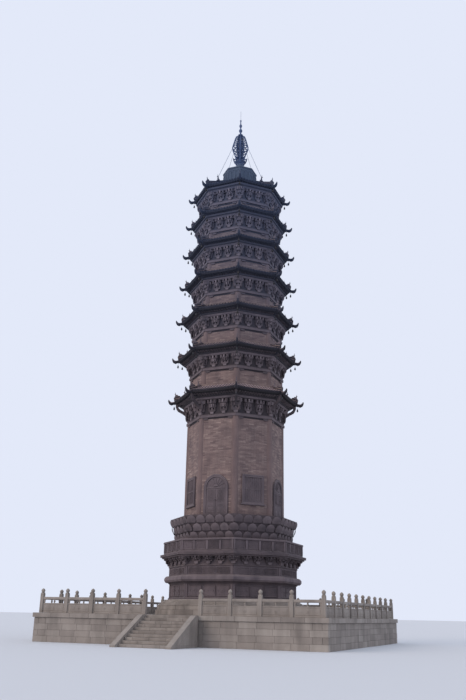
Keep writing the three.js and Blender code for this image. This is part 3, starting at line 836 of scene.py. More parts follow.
def roof_height(storey, x, out):
    """Height of the tile bed at x along a face and out from the tower's axis."""
    edge, head = storey.edge * FACE, storey.head_radius * FACE
    climb = (edge - out) / (edge - head)
    low = storey.tip - EDGE_SAG
    lift = lift_at(x, out) * max(0.0, 1 - climb) ** 1.5
    return low + (storey.head - low) * climb + lift - ROOF_DIP * math.sin(math.pi * climb)


def soffit_height(storey, x, out):
    """Height of the underside of the eave."""
    inner, edge = (storey.radius + PURLIN_PROUD) * FACE, storey.edge * FACE
    outward = min(1.0, max(0.0, (out - inner) / (edge - inner)))
    return storey.tip - UNDERSIDE_DROP + SOFFIT_RISE * outward + lift_at(x, out) * outward ** 1.5


def build_roof_bed(storey):
    """The solid that carries the tiles, with lifted corners, laid dark at its outer edge as painted shade
    and lighter further in as painted light.
    """
    edge, head = storey.edge * FACE, (storey.head_radius - 0.2) * FACE
    wedge, bed = blank(), blank()
    tones = wedge.verts.layers.float["tone"]
    bmesh.ops.create_grid(wedge, x_segments=8, y_segments=6, size=1.0)
    for vert in wedge.verts:
        out = edge + (head - edge) * (vert.co.y + 1) / 2
        x = vert.co.x * out * LEAN
        top = roof_height(storey, x, max(out, storey.head_radius * FACE))
        vert.co = (x, -out, top - BED_BELOW_TILES)
        # Painted light and shade: the tone falls from 1 deep under the eave, where little sky reaches, to
        # nearly 0 at the outer edge, which faces the sky.
        vert[tones] = 1.0 - 0.95 * max(0.0, 1 - (edge - out) / 0.5)
    for vert in extruded(wedge, wedge.faces[:])[1]:
        vert.co.z = soffit_height(storey, vert.co.x, -vert.co.y)
    bmesh.ops.recalc_face_normals(wedge, faces=wedge.faces[:])
    lay_all(bed, wedge, at_all(at_face), None)
    piece(f"{storey.name}_roof_bed", bed, EAVE_BRICK, [f"{storey.name}_eave"])


each_storey(build_roof_bed)

# %% Rafters
RAFTER_PITCH = 0.19
RAFTER_RADIUS = 0.042
SHORTEST_RAFTER = 0.06


def rafter_shapes():
    """One round rafter and one square flying rafter, each one metre long from y = 0 outwards."""
    round_one, square = blank(), blank()
    tapered_bar(round_one, 8, RAFTER_RADIUS, RAFTER_RADIUS, 1)
    block(square, (0.07, 1, 0.06), (0, -0.5, 0))
    return template("round_rafter", round_one), template("flying_rafter", square)


ROUND_RAFTER, FLYING_RAFTER = rafter_shapes()


def build_rafters(storey):
    """Two layers of rafters under one eave, cut off along the hips."""
    edge, start = storey.edge * FACE, (storey.radius + PURLIN_PROUD - 0.05) * FACE
    count = int(2 * edge * LEAN / RAFTER_PITCH) - 1
    # Each kind has its shape, its inner and outer end, its drop below the roof and its tone. The round
    # rafters lie deep in the eave and are laid light, as painted light against the shade there; the
    # flying rafters at the edge are laid dark, as painted shade for the dark band under the eave. On the
    # upper eaves, the narrow ones, the round rafters are laid darker.
    kinds = ((ROUND_RAFTER, start, edge - 0.2, 0.02, 0.95 - 0.12 * (storey.number - 1)),
             (FLYING_RAFTER, edge - 0.36, edge - 0.025, 0.0, 0.15))
    bm = blank()
    for side in range(SIDES):
        for x in in_row(count, RAFTER_PITCH):
            for shape, inner, stop, drop, tone in kinds:
                inner = max(inner, abs(x) / LEAN + 0.02)
                run = stop - inner
                if run < SHORTEST_RAFTER:
                    continue
                low, high = (soffit_height(storey, x, out) - drop for out in (inner, stop))
                tilt = math.atan2(high - low, run)
                stretch = Matrix.Diagonal((1, run / math.cos(tilt), 1, 1))
                lay(bm, shape, at_face(side, inner, low, x) @ rotate("X", -tilt) @ stretch,
                    tone + chance.uniform(-0.1, 0.1))
    piece(f"{storey.name}_rafters", bm, EAVE_BRICK)


each_storey(build_rafters)

# %% Tile templates
ROW_PITCH = 0.21
COVER_RADIUS = 0.055
PAN_WIDTH = ROW_PITCH - COVER_RADIUS
TILE_LENGTH = 0.30
TILE_STEP = 0.27
TILE_TILT = 0.04
# A row of tiles starts past the edge of the roof, and ends short of the hip.
PAST_EDGE, SHORT_OF_HIP = 0.015, 0.06
DISC_THICK, DRIP_THICK = 0.022, 0.018
# Left half of the drip tile's outline: share of its half width, height
DRIP_OUTLINE = [(1, 0.045), (0.9, -0.035), (0.45, -0.055)]


def cover_tile():
    """A half-round cover tile from y = 0 outwards, a little wider at its lower end."""
    bm = blank()
    tapered_bar(bm, 12, COVER_RADIUS, COVER_RADIUS * 0.9, TILE_LENGTH)
    cut = bmesh.ops.bisect_plane(bm, geom=bm.verts[:] + bm.edges[:] + bm.faces[:], clear_outer=True,
                                 plane_co=(0, 0, -0.005), plane_no=(0, 0, -1))
    rim = [item for item in cut["geom_cut"] if isinstance(item, bmesh.types.BMEdge)]
    bmesh.ops.edgeloop_fill(bm, edges=rim)
    return template("cover_tile", bm)


def pan_tile():
    """A shallow pan tile between two rows of covers."""
    bm = blank()
    block(bm, (PAN_WIDTH, TILE_LENGTH, 0.014), (0, -TILE_LENGTH / 2, 0))
    return template("pan_tile", bm)


def end_tile():
    """The round end tile: a disc with a rim and a plain boss."""
    rim = COVER_RADIUS * 1.1
    bm = turned(blank(), [(0, 0), (rim, 0), (rim, DISC_THICK), (rim * 0.8, DISC_THICK), (rim * 0.75, 0.012),
                          (rim * 0.35, 0.012), (rim * 0.25, 0.02), (0, DISC_THICK)], 10)
    bmesh.ops.transform(bm, matrix=rotate("X", math.pi / 2), verts=bm.verts[:])
    return template("end_tile", bm)


def drip_tile():
    """The pointed drip tile that hangs between two end tiles."""
    bm = blank()
    left = [(-share * PAN_WIDTH / 2, z) for share, z in DRIP_OUTLINE]
    corners = left + [(0, -0.09)] + [(-x, z) for x, z in reversed(left)] + [(0, 0.03)]
    face = bm.faces.new([bm.verts.new((x, 0, z)) for x, z in corners])
    extruded(bm, [face], (0, -DRIP_THICK, 0))
    bmesh.ops.recalc_face_normals(bm, faces=bm.faces[:])
    return template("drip_tile", bm)


COVER, PAN, END, DRIP = cover_tile(), pan_tile(), end_tile(), drip_tile()


# %% Lay the tiles
def build_tiles(storey):
    """Pan tiles, rows of covers, end tiles and drip tiles of one eave."""
    edge, head = storey.edge * FACE, storey.head_radius * FACE
    rows = int((2 * edge * LEAN - 0.16) / ROW_PITCH)
    covers, pans = blank(), blank()
    # What a row is laid into, its tiles, how high they lie, the tile at its end and how far that is out
    kinds = ((covers, COVER, -0.002, END, 0.018), (pans, PAN, -0.012, DRIP, 0.0))
    for side in range(SIDES):
        for row in range(rows * 2 + 1):
            x = (row - rows) * ROW_PITCH / 2
            into, tile, above, last, out = kinds[row % 2]
            stop = max(head, abs(x) / LEAN + SHORT_OF_HIP)
            low = edge + PAST_EDGE
            tone = chance.gauss(0.5, 0.1)
            while low - TILE_LENGTH * 0.45 > stop:
                high = low - TILE_LENGTH
                z = roof_height(storey, x, high)
                tilt = math.atan2(z - roof_height(storey, x, low), TILE_LENGTH) - TILE_TILT
                lay(into, tile, at_face(side, high, z + above, x) @ rotate("X", tilt),
                    tone + chance.gauss(0, 0.1))
                low -= TILE_STEP
            lay(covers, last, at_face(side, edge + out, roof_height(storey, x, edge) - 0.01, x))
    piece(f"{storey.name}_cover_tiles", covers, ROOF_TILE)
    piece(f"{storey.name}_pan_tiles", pans, ROOF_TILE)


each_storey(build_tiles)

# %% [markdown]
# ## Hip ridges, hooks and figures
#
# Where two roof faces meet, a ridge of thin bricks and a half-round cap runs down the corner. It
# ends in an upturned iron-grey hook that stands clear of the tiles, and a small seated beast guards
# it. A second one sits higher up. The wall above stands in a low ridge of its own.

# %% Ridge and hook
# Right half of the ridge's section, from the foot up: distance from its middle, height
RIDGE_SIDE = [(0.085, -0.08), (0.085, 0.05), (0.06, 0.06), (0.06, 0.13), (0.075, 0.14), (0.075, 0.18),
              (0.055, 0.19), (0.055, 0.235), (0.07, 0.245), (0.055, 0.285)]
RIDGE_CREST = 0.30
RIDGE_SECTION = [(-0.085, -0.08)] + RIDGE_SIDE + [(0, RIDGE_CREST)] + [(-x, z) for x, z in RIDGE_SIDE[:0:-1]]
# The two light courses that stand out along a ridge: half width, lower and upper edge
BANDS = [(0.09, 0.0, 0.045), (0.08, 0.142, 0.182)]
RIDGE_TONE = 0.7
# The two beams under each hip: thickness, length, how far their middle is inside the edge, drop
CORNER_BEAMS = [(0.14, 0.95, 0.42, 0.17), (0.12, 0.7, 0.62, 0.30)]
HOOK_RADIUS = 0.115
# The hook's middle line beyond the roof's corner: distance, height from the tip, share of its thickness
HOOK_CURVE = [(-0.2, -0.10, 0.75), (0.03, -0.12, 0.7), (0.11, -0.165, 0.9), (0.2, -0.19, 1.05),
              (0.29, -0.155, 0.95), (0.355, -0.08, 0.7), (0.395, 0.0, 0.5), (0.41, 0.07, 0.28),
              (0.412, 0.10, 0.08)]


def hip_height(storey, radius):
    """Height of the tile bed along a hip."""
    return roof_height(storey, radius * FACE * LEAN, radius * FACE)


def ridge_rise(storey):
    """Share of its full height that a hip ridge has at its upper end. The top roof's keep it all."""
    return 1.0 if storey.number == STOREYS else 0.5


def along_hip(bm, storey, section, past):
    """Sweeps a section down a hip, starting and ending a little past the roof."""
    edge, head, rise = storey.edge, storey.head_radius, ridge_rise(storey)
    radii = [head - past - 0.01, head + 0.2, (head + edge) / 2, edge - 0.45, edge - 0.25, edge - 0.1,
             edge + past]
    path = [(radius, hip_height(storey, min(edge, max(radius, head)))) for radius in radii]
    sweep(bm, section, path, [rise, rise, (1 + rise) / 2, 1, 1, 0.96, 0.85])


def hip_ridge(storey):
    """One hip ridge, its corner beams and the hook, in the plane x = 0."""
    bm = blank()
    tip, edge = storey.tip, storey.edge
    along_hip(bm, storey, RIDGE_SECTION, 0.02)
    for thick, length, inset, drop in CORNER_BEAMS:
        block(bm, (thick, length, thick), (0, inset - edge, tip - drop))
    hook = [(edge + out, tip + up) for out, up, share in HOOK_CURVE]
    sweep(bm, circle(HOOK_RADIUS, 10), hook, [share for out, up, share in HOOK_CURVE])
    return template("hip_ridge", bm)


def foot_ridge(storey):
    """The low ridge round the foot of what stands on the roof, and the light courses of the hips."""
    r, z = storey.head_radius, storey.head
    bm, bands = blank(), blank()
    lay_turned(bm, [(r - 0.2, z - 0.06), (r - 0.01, z - 0.06), (r + 0.005, z + 0.05), (r - 0.025, z + 0.065),
                    (r - 0.025, z + 0.1), (r, z + 0.11), (r - 0.02, z + 0.15), (r - 0.2, z + 0.16)],
               RIDGE_TONE, ring=True)
    for band in BANDS:
        along_hip(bands, storey, box_section(*band), 0.01)
    lay_all(bm, bands, at_all(at_corner), RIDGE_TONE)
    return bm


# %% Figures for the ridges
# Each ball of a beast as its centre and its half sizes
BODY = [((0, 0.1, 0.24), (0.13, 0.2, 0.2)), ((0, -0.02, 0.42), (0.1, 0.12, 0.26)),
        ((0, -0.07, 0.68), (0.09, 0.11, 0.11)), ((0, -0.17, 0.65), (0.055, 0.08, 0.05)),
        ((-0.09, -0.12, 0.15), (0.045, 0.06, 0.12)), ((0.09, -0.12, 0.15), (0.045, 0.06, 0.12))]
LONG_BACK = [((0, 0.24, 0.36), (0.11, 0.22, 0.24)), ((0, 0.5, 0.2), (0.1, 0.45, 0.22))]


def beast(height, balls):
    """A seated beast looking outwards: base, haunches, chest, head, snout and horn."""
    bm = blank()
    block(bm, (0.34, 0.5, 0.08), (0, 0, 0.04), foot_scale=1.1)
    for centre, size in balls:
        ball(bm, centre, size, rings=5)
    bmesh.ops.create_cone(bm, cap_ends=True, segments=5, radius1=0.06, radius2=0.012, depth=0.36,
                          matrix=move((0, -0.09, 0.88)) @ rotate("X", 0.1))
    bmesh.ops.scale(bm, vec=(height, height, height), verts=bm.verts[:])
    return template("beast", bm)


BEAST, INNER_BEAST, STAY_BEAST = beast(0.36, BODY + LONG_BACK), beast(0.42, BODY), beast(0.56, BODY)
STAY_FOOT_RADIUS = 2.27
# How far the lowest beast sits inside the roof's corner, and the second one outside the wall above
BEAST_INSET, INNER_BEAST_OUT = 0.06, 0.22


def build_ridges(storey):
    """All eight hips of one roof with hooks and figures, and the ridge round the wall foot."""
    piece(f"{storey.name}_foot_ridge", foot_ridge(storey), WALL_BRICK)
    bm, figures = blank(), blank()
    ridge = hip_ridge(storey)
    inner, upper, tones = storey.head_radius + INNER_BEAST_OUT, INNER_BEAST, (0.5, 0.9)
    if storey.number == STOREYS:
        inner, upper, tones = STAY_FOOT_RADIUS, STAY_BEAST, (0.0, 0.2)
    seats = ((storey.edge - BEAST_INSET, BEAST, 1.0), (inner, upper, ridge_rise(storey)))
    for corner in range(SIDES):
        lay(bm, ridge, at_corner(corner), chance.uniform(0.3, 0.5))
        for radius, shape, share in seats:
            z = hip_height(storey, radius) + RIDGE_CREST * share - 0.03
            lay(figures, shape, at_corner(corner, radius, z), chance.uniform(*tones))
    bpy.data.meshes.remove(ridge)
    piece(f"{storey.name}_ridges", bm, ROOF_TILE, smooth_under=45)
    piece(f"{storey.name}_figures", figures, CARVED_BRICK, smooth_under=45)


each_storey(build_ridges)

# %% [markdown]
# ## Wind bells
#
# Two bells hang under each corner, one from the end of the beam and one further in. Each is a cast
# iron bell with a flared mouth, hung on a wire, and a clapper with a thin plate that the wind moves.

# %% Old iron
def old_iron(name, shades, metallic):
    """Cast and wrought iron gone dull: nearly black, blue-grey, with brown rust in patches."""
    material, tree, shader, where = start_material(name)
    colour = shades_of(tree, noise(tree, where, 6.0, 5.0), zip((0.35, 0.55, 0.75), shades))
    shader.inputs["Metallic"].default_value = metallic
    # Cast iron keeps the grain of its sand mould, drawn at 12 mm so that it shows.
    surface(tree, shader, colour, 0.62, noise(tree, where, 1 / (12 * MM)), 0.4, 2)
    return material


OLD_IRON = old_iron("weathered_wrought_iron", ("#3b4a6b", "#4b6087", "#5b5c67"), 0.3)
BELL_IRON = old_iron("old_cast_iron", ("#24252a", "#2e2f35", "#3a3330"), 0.1)

# %% Bells
BELL_OUTLINE = [(0, 0.0), (0.022, -0.005), (0.042, -0.025), (0.048, -0.07), (0.052, -0.12), (0.062, -0.15),
                (0.066, -0.165), (0.054, -0.165), (0.044, -0.12), (0.038, -0.05), (0, -0.03)]
# Size and height of the clapper and of the plate that the wind moves
CLAPPER, WIND_PLATE = ((0.006, 0.006, 0.09), -0.12), ((0.07, 0.005, 0.06), -0.19)


def bell(hang):
    """A bell hanging from z = 0 on a wire, with its clapper and wind plate."""
    bm = turned(blank(), BELL_OUTLINE, 10)
    for size, z in (CLAPPER, WIND_PLATE, ((0.008, 0.008, hang + 0.01), hang / 2)):
        block(bm, size, (0, 0, z))
    bmesh.ops.translate(bm, vec=(0, 0, -hang), verts=bm.verts[:])
    return template("bell", bm)


# Each bell of a corner: how far in from the roof's corner and how far below the tip it hangs, its shape
BELLS = ((-0.01, 0.17, bell(0.25)), (0.29, 0.32, bell(0.23)))


def build_bells():
    """Two bells at each corner of each eave."""
    bm = blank()
    for storey in storeys:
        for corner in range(SIDES):
            for inset, drop, shape in BELLS:
                place = at_corner(corner, storey.edge - inset, storey.tip - drop)
                lay(bm, shape, place @ rotate("Z", chance.uniform(0, 3)))
    piece("wind_bells", bm, BELL_IRON, smooth_under=45)


build_bells()

# %% [markdown]
# ## False doors and windows
#
# The tower is solid, so its four doors and four windows are carved in brick and nothing opens. A
# door has an arched surround, two leaves with a lattice in the upper half, and a fan of ribs over
# them. A window has a stepped surround and seven upright bars. An outline is pushed out from the
# wall, and then its front is inset and stepped, which is how a carver works from the face inwards.

# %% Carved panels
# The rise of a border that is meant to lie flat
FLAT = 0.0005


def rectangle(width, low, high, middle=0.0):
    """A rectangle of (x, z) points."""
    return [(middle + x, z) for x, z in box_section(width / 2, low, high)]


def arch(width, foot, spring, steps=14):
    """A rectangle of (x, z) points with a round head."""
    half = width / 2
    head = [(half * math.cos(math.pi * i / steps), spring + half * math.sin(math.pi * i / steps))
            for i in range(steps + 1)]
    return [(-half, foot), (half, foot)] + head


def raised(bm, outline, thickness, steps=(), out=0.0):
    """Pushes an outline of (x, z) points towards -Y, then cuts (border, rise) steps into its front."""
    back = bm.faces.new([bm.verts.new((x, -out, z)) for x, z in outline])
    (front,), verts = extruded(bm, [back], (0, -thickness, 0))
    faces = {back} | {face for vert in verts for face in vert.link_faces}
    for border, rise in steps:
        faces |= set(bmesh.ops.inset_region(bm, faces=[front], thickness=border, depth=rise,
                                            use_even_offset=True)["faces"])
    bmesh.ops.recalc_face_normals(bm, faces=list(faces | {front}))


def lattice(bm, low, high, pitch, width, depth, out):
    """Bars at 45 degrees both ways across the rectangle from low to high, both (x, z)."""
    middle, half_x, half_z = (low[0] + high[0]) / 2, (high[0] - low[0]) / 2, (high[1] - low[1]) / 2
    count = int((half_x + half_z) / pitch)
    for lean in (-1, 1):
        for index in range(-count, count + 1):
            start = max(-half_x, index * pitch - half_z)
            stop = min(half_x, index * pitch + half_z)
            if stop - start < width:
                continue
            x, z = (start + stop) / 2, (start + stop) / 2 - index * pitch
            centre = (middle + x, -out - depth / 2, (low[1] + high[1]) / 2 + lean * z)
            size = ((stop - start) * math.sqrt(2), depth, width)
            block(bm, size, (0, 0, 0), move(centre) @ rotate("Y", -lean * math.pi / 4))


# %% False doors and windows
DOOR_WIDTH, DOOR_SPRING = 1.30, 1.75
WINDOW_WIDTH, WINDOW_HEIGHT, WINDOW_SILL = 1.15, 1.50, 0.90
FRAME_BORDER = 0.17
FRAME_THICK = 0.095
FRAME_STEPS = [(0.02, 0.015), (0.045, FLAT), (0.02, -0.02), (0.055, FLAT), (0.01, 0.012), (0.018, FLAT),
               (0.002, -0.0585)]
# Each panel of a door leaf: lower and upper edge, thickness, steps
LEAF_PANELS = [(0.22, 0.60, 0.012, [(0.03, FLAT), (0.02, -0.012), (0.03, 0.012)]),
               (0.66, 0.80, 0.012, [(0.025, -0.008)]),
               (0.86, DOOR_SPRING - 0.15, 0.014, [(0.03, FLAT), (0.002, -0.013)])]
WINDOW_BARS, BAR_THICK, SILL_THICK = 7, 0.045, 0.13
LEAF_OUT = 0.045
LEAF_THICK = 0.02
PULL_HEIGHT = 0.95
RIBS, RIB = 7, (0.03, 0.025, 0.42)
WALL_GAP = 0.0005


def false_door():
    """An arched brick door in relief, with its foot at z = 0 and its back against y = 0."""
    bm = blank()
    raised(bm, arch(DOOR_WIDTH + 2 * FRAME_BORDER, 0, DOOR_SPRING), FRAME_THICK, FRAME_STEPS)
    leaf_width = DOOR_WIDTH / 2 - 0.02
    field, leaf_face = leaf_width - 0.16, LEAF_OUT + LEAF_THICK
    for side in (-1, 1):
        middle = side * (leaf_width / 2 + 0.012)
        raised(bm, rectangle(leaf_width, 0.16, DOOR_SPRING - 0.09, middle), LEAF_THICK, out=LEAF_OUT)
        for low, high, thickness, steps in LEAF_PANELS:
            raised(bm, rectangle(field, low, high, middle), thickness, steps, leaf_face)
        reach = field / 2 - 0.03
        lattice(bm, (middle - reach, 0.89), (middle + reach, DOOR_SPRING - 0.18), 0.085, 0.014, 0.012,
                leaf_face)
        pull = turned(blank(), rectangle(0.012, -0.006, 0.006, 0.044), 12, ring=True)
        lay_once(bm, pull, move((side * 0.055, -LEAF_OUT - 0.035, PULL_HEIGHT)) @ rotate("X", math.pi / 2))
    head = rectangle(DOOR_WIDTH - 0.02, DOOR_SPRING - 0.09, DOOR_SPRING)
    raised(bm, head, 0.04, [(0.02, 0.01)], LEAF_OUT)
    for rib in range(1, RIBS + 1):
        lean = math.pi / 2 - rib * math.pi / (RIBS + 1)
        place = move((0, 0, DOOR_SPRING)) @ rotate("Y", lean)
        block(bm, RIB, (0, -LEAF_OUT - RIB[1] / 2, 0.39), place)
    raised(bm, arch(0.36, DOOR_SPRING, DOOR_SPRING + 0.001, 10), 0.035, [(0.03, 0.01)], LEAF_OUT)
    return template("false_door", bm)


def false_window():
    """A square brick window in relief with upright bars of diamond section."""
    bm = blank()
    low, high = WINDOW_SILL - FRAME_BORDER, WINDOW_SILL + WINDOW_HEIGHT + FRAME_BORDER
    middle = WINDOW_SILL + WINDOW_HEIGHT / 2
    raised(bm, rectangle(WINDOW_WIDTH + 2 * FRAME_BORDER, low, high), FRAME_THICK, FRAME_STEPS)
    raised(bm, rectangle(WINDOW_WIDTH + 0.5, low - 0.06, low + 0.04), SILL_THICK, [(0.012, 0.01)])
    for bar in range(1, WINDOW_BARS + 1):
        place = move((WINDOW_WIDTH * (bar / (WINDOW_BARS + 1) - 0.5), -LEAF_OUT - 0.012, middle))
        block(bm, (BAR_THICK, BAR_THICK, WINDOW_HEIGHT), (0, 0, 0), place @ rotate("Z", math.pi / 4))
    block(bm, (WINDOW_WIDTH, 0.02, 0.05), (0, -LEAF_OUT - 0.03, middle))
    return template("false_window", bm)


def build_doors_and_windows():
    """Doors on the four main faces and windows on the four between them."""
    door, window = false_door(), false_window()
    names = ("door_front", "window_front_right", "door_right", "window_back_right", "door_back",
             "window_back_left", "door_left", "window_front_left")
    for side, name in enumerate(names):
        bm = blank()
        place = at_face(side, storeys[0].radius * FACE + WALL_GAP, storeys[0].foot)
        lay(bm, window if side % 2 else door, place, 0.62)
        piece(f"false_{name}_carving", bm, CARVED_BRICK, [f"false_{name}"])


build_doors_and_windows()

# %% [markdown]
# ## Lotus seat
#
# The first storey sits on three rows of lotus petals. A petal is a curved sheet: it bulges in the
# middle, stands away from the wall towards its tip, and has a raised rim. It is bent once from a
# flat grid and laid 120 times. Each row is shifted by half a petal against the one below, so in the
# middle row a petal folds round each corner.

# %% Lotus seat
LOTUS_TIERS = 3
LOTUS_STEP, LOTUS_FLARE = 0.15, 0.19
PETALS_PER_FACE = 5
PETAL_SHARE = 0.97
# The core behind a row of petals, in shares of the flare and of the row's height
LOTUS_CORE = [(0, 0), (0.45, 0.9), (0.5, 1)]
PETAL_RIM = 0.012


def petal(width, height):
    """One lotus petal with its foot at z = 0, standing out towards -Y."""
    bm = blank()
    bmesh.ops.create_grid(bm, x_segments=8, y_segments=8, size=1.0)
    for vert in bm.verts:
        across, up = vert.co.x, (vert.co.y + 1) / 2
        belly = 0.8 + 0.2 * math.sin(math.pi * min(1, up * 1.3))
        point = (1 - max(0, (up - 0.5) / 0.5) ** 2.6) ** 0.6
        rim = PETAL_RIM if abs(across) > 0.7 or up > 0.85 else 0.0
        flare = LOTUS_FLARE * (0.2 + 0.75 * math.sin(up * math.pi / 2) ** 1.5)
        bulge = 0.05 * (1 - across ** 2) * math.sin(math.pi * up)
        vert.co = (across * max(width / 2 * belly * point, 0.004), -flare - bulge - rim,
                   height * up - 0.02 * abs(across) * up)
    extruded(bm, bm.faces[:], (0, 0.03, -0.015))
    bmesh.ops.recalc_face_normals(bm, faces=bm.faces[:])
    return template("petal", bm)


def build_lotus_seat():
    """Three rows of petals in front of a plain core."""
    low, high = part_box("lotus_seat")
    foot_radius = high.x / FACE - LOTUS_FLARE - (LOTUS_TIERS - 1) * LOTUS_STEP
    rise = (high.z - low.z) / LOTUS_TIERS
    bm = blank()
    core = [(0, low.z)]
    for tier in range(LOTUS_TIERS):
        radius, z = foot_radius + tier * LOTUS_STEP, low.z + tier * rise
        core += [(radius + LOTUS_FLARE * share, z + rise * up) for share, up in LOTUS_CORE]
        width = side_length(radius + LOTUS_FLARE * 0.7) / PETALS_PER_FACE
        shape = petal(width * PETAL_SHARE, rise * PETAL_SHARE)
        count = PETALS_PER_FACE - tier % 2
        for side in range(SIDES):
            places = [at_face(side, radius * FACE, z, x) for x in in_row(count, width)]
            if tier % 2:
                places.append(at_corner(side, radius - 0.02, z))
            for place in places:
                lay(bm, shape, place, chance.uniform(0.5, 0.75))
        bpy.data.meshes.remove(shape)
    lay_turned(bm, core + [(0, high.z)], 0.45)
    piece("lotus_seat_petals", bm, CARVED_BRICK, ["lotus_seat"], smooth_under=50)


build_lotus_seat()

# %% [markdown]
# ## Pedestal
#
# Under the lotus come a carved parapet, a gallery on its own small bracket sets, two waists with
# sunk panels and a ledge between them, and a moulded stone plinth. Their outlines are spun like the
# solids of the frame. The carving is laid on the flat faces: a post, a panel with a rosette or a
# lattice, a post, and so on round the tower.

# %% Pedestal
PANEL_LENGTH, PANEL_PITCH, PANELS = 0.86, 0.92, 3
PARAPET_BAYS = 4
CORNER_POST = 0.13


def along_face(bm, part, radius, z, count, pitch, tone=0.6):
    """Lays a shape in a row on every face, at a corner radius and a height."""
    for side in range(SIDES):
        for x in in_row(count, pitch):
            shade = None if tone is None else tone + chance.uniform(-0.12, 0.12)
            lay(bm, part, at_face(side, radius * FACE, z, x), shade)
    bpy.data.meshes.remove(part)


def rosette(bm, radius, out, z):
    """A plain flower of eight round petals about a boss."""
    for index in range(8):
        place = move((0, -out, z)) @ rotate("Y", index * math.pi / 4)
        ball(bm, (0, 0, radius * 0.58), (radius * 0.26, 0.014, radius * 0.42), place)
    ball(bm, (0, -out, z), (radius * 0.24, 0.03, radius * 0.24))


def panel_shape(width, height, flower):
    """A framed sunk panel with a rosette in the middle, or with a lattice."""
    bm = blank()
    raised(bm, rectangle(width, 0, height), 0.035,
           [(0.03, FLAT), (0.015, -0.025), (0.02, FLAT), (0.01, 0.008)])
    if flower:
        middle = height / 2
        rosette(bm, height * 0.27, 0.02, middle)
        for x in (0.14 - width / 2, width / 2 - 0.14):
            raised(bm, rectangle(0.05, middle - 0.05, middle + 0.05, x), 0.035, [(0.012, 0.008)])
    else:
        lattice(bm, (0.05 - width / 2, 0.05), (width / 2 - 0.05, height - 0.05), 0.1, 0.018, 0.014, 0.018)
    return template("panel", bm)


def corner_posts(bm, radius, low, high, width=CORNER_POST, proud=0.04):
    """A square pilaster folded round every corner."""
    size, middle = (width, 0.2 + proud, high - low), (low + high) / 2
    for corner in at_all(at_corner, radius):
        for swing in (-HALF_ANGLE, HALF_ANGLE):
            centre = (math.copysign(width / 2, swing), 0.1 - proud / 2, middle)
            lay_box(bm, size, centre, corner @ rotate("Z", swing), 0.65)


def build_parapet():
    """A carved parapet: base, posts, lattice panels and a cap."""
    low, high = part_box("parapet")
    radius = high.x / FACE - 0.04
    inner, foot, head = radius - 0.05, low.z + 0.13, high.z - 0.13
    bm = blank()
    lay_core(bm, radius, low.z, high.z, [(0, 0), (0, 0.1), (-0.05, 0.13)],
             [(-0.05, -0.13), (0, -0.11), (0.04, -0.11), (0.04, -0.02), (0.02, 0)], 0.6)
    pitch, field = side_length(radius) / PARAPET_BAYS, head - foot
    along_face(bm, panel_shape(pitch - 0.2, field - 0.06, False), inner, foot + 0.03, PARAPET_BAYS, pitch)
    post = blank()
    block(post, (0.12, 0.16, field), (0, 0.02, field / 2))
    along_face(bm, template("post", post), inner, foot, PARAPET_BAYS - 1, pitch, 0.7)
    corner_posts(bm, inner, foot, high.z - 0.11, 0.1, 0.06)
    piece("parapet_carving", bm, CARVED_BRICK, ["parapet"])


def build_gallery():
    """The gallery: a moulding, a row of small bracket sets and the edge of the deck."""
    low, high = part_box("gallery")
    deck_radius, deck = high.x / FACE, high.z - 0.15
    inner, foot, head = deck_radius - 0.59, low.z + 0.12, deck - 0.08
    bm = blank()
    lower = [(-0.59, 0), (-0.56, 0.05), (-0.59, 0.11), (-0.62, 0.12)]
    upper = [(-0.62, -0.23), (-0.12, -0.23), (-0.12, -0.15), (-0.02, -0.15), (0, -0.13), (0, -0.08),
             (-0.02, -0.07), (0, -0.06), (0, 0)]
    lay_core(bm, deck_radius, low.z, high.z, lower, upper, 0.55)
    zone = head - foot
    middle, corner_one = face_set(zone), corner_set(zone)
    along_face(bm, middle, inner, foot, 3, side_length(inner) / 4, None)
    for place in at_all(at_corner, inner, foot):
        lay(bm, corner_one, place, None)
    bpy.data.meshes.remove(corner_one)
    piece("gallery_carving", bm, CARVED_BRICK, ["gallery"])


def build_waists():
    """Two waists with sunk panels between corner pilasters, and the ledge between them."""
    low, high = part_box("lower_waist")
    radius = high.x / FACE - 0.12
    bm = blank()
    lay_core(bm, radius, low.z, high.z, [(0.09, 0), (0.09, 0.08), (0.05, 0.11), (0, 0.12)],
             [(0, -0.12), (0.04, -0.11), (0.06, -0.06), (0.12, -0.05), (0.12, 0)], 0.5)
    along_face(bm, panel_shape(PANEL_LENGTH, 0.6, True), radius, low.z + 0.2, PANELS, PANEL_PITCH)
    corner_posts(bm, radius, low.z + 0.12, high.z - 0.12)
    piece("lower_waist_carving", bm, CARVED_BRICK, ["lower_waist"])
    low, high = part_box("upper_waist")
    ledge, top = high.x / FACE, low.z + 0.4
    neck = ledge - 0.33
    bm = blank()
    lower = [(-0.13, 0), (-0.06, 0.04), (-0.02, 0.11), (0, 0.13), (0, 0.27), (-0.03, 0.28), (-0.05, 0.33),
             (-0.13, 0.39), (-0.15, 0.4), (-0.33, 0.41)]
    lay_core(bm, ledge, low.z, high.z, lower, [(-0.33, 0)], 0.8)
    along_face(bm, panel_shape(PANEL_LENGTH, 0.36, False), neck, top + 0.07, PANELS, PANEL_PITCH)
    corner_posts(bm, neck, top, high.z)
    piece("upper_waist_carving", bm, CARVED_BRICK, ["upper_waist"])


build_parapet()
build_gallery()
build_waists()

# %% [markdown]
# ## Dressed stone
#
# The plinth, the terrace and its balustrade are of pale limestone. Each block keeps its own shade
# and the fine parallel strokes of the chisel. Rain has left grey runs down the stone. The blocks
# are real pieces with narrow bevelled edges and open joints, because a drawn joint has no
# shadow.

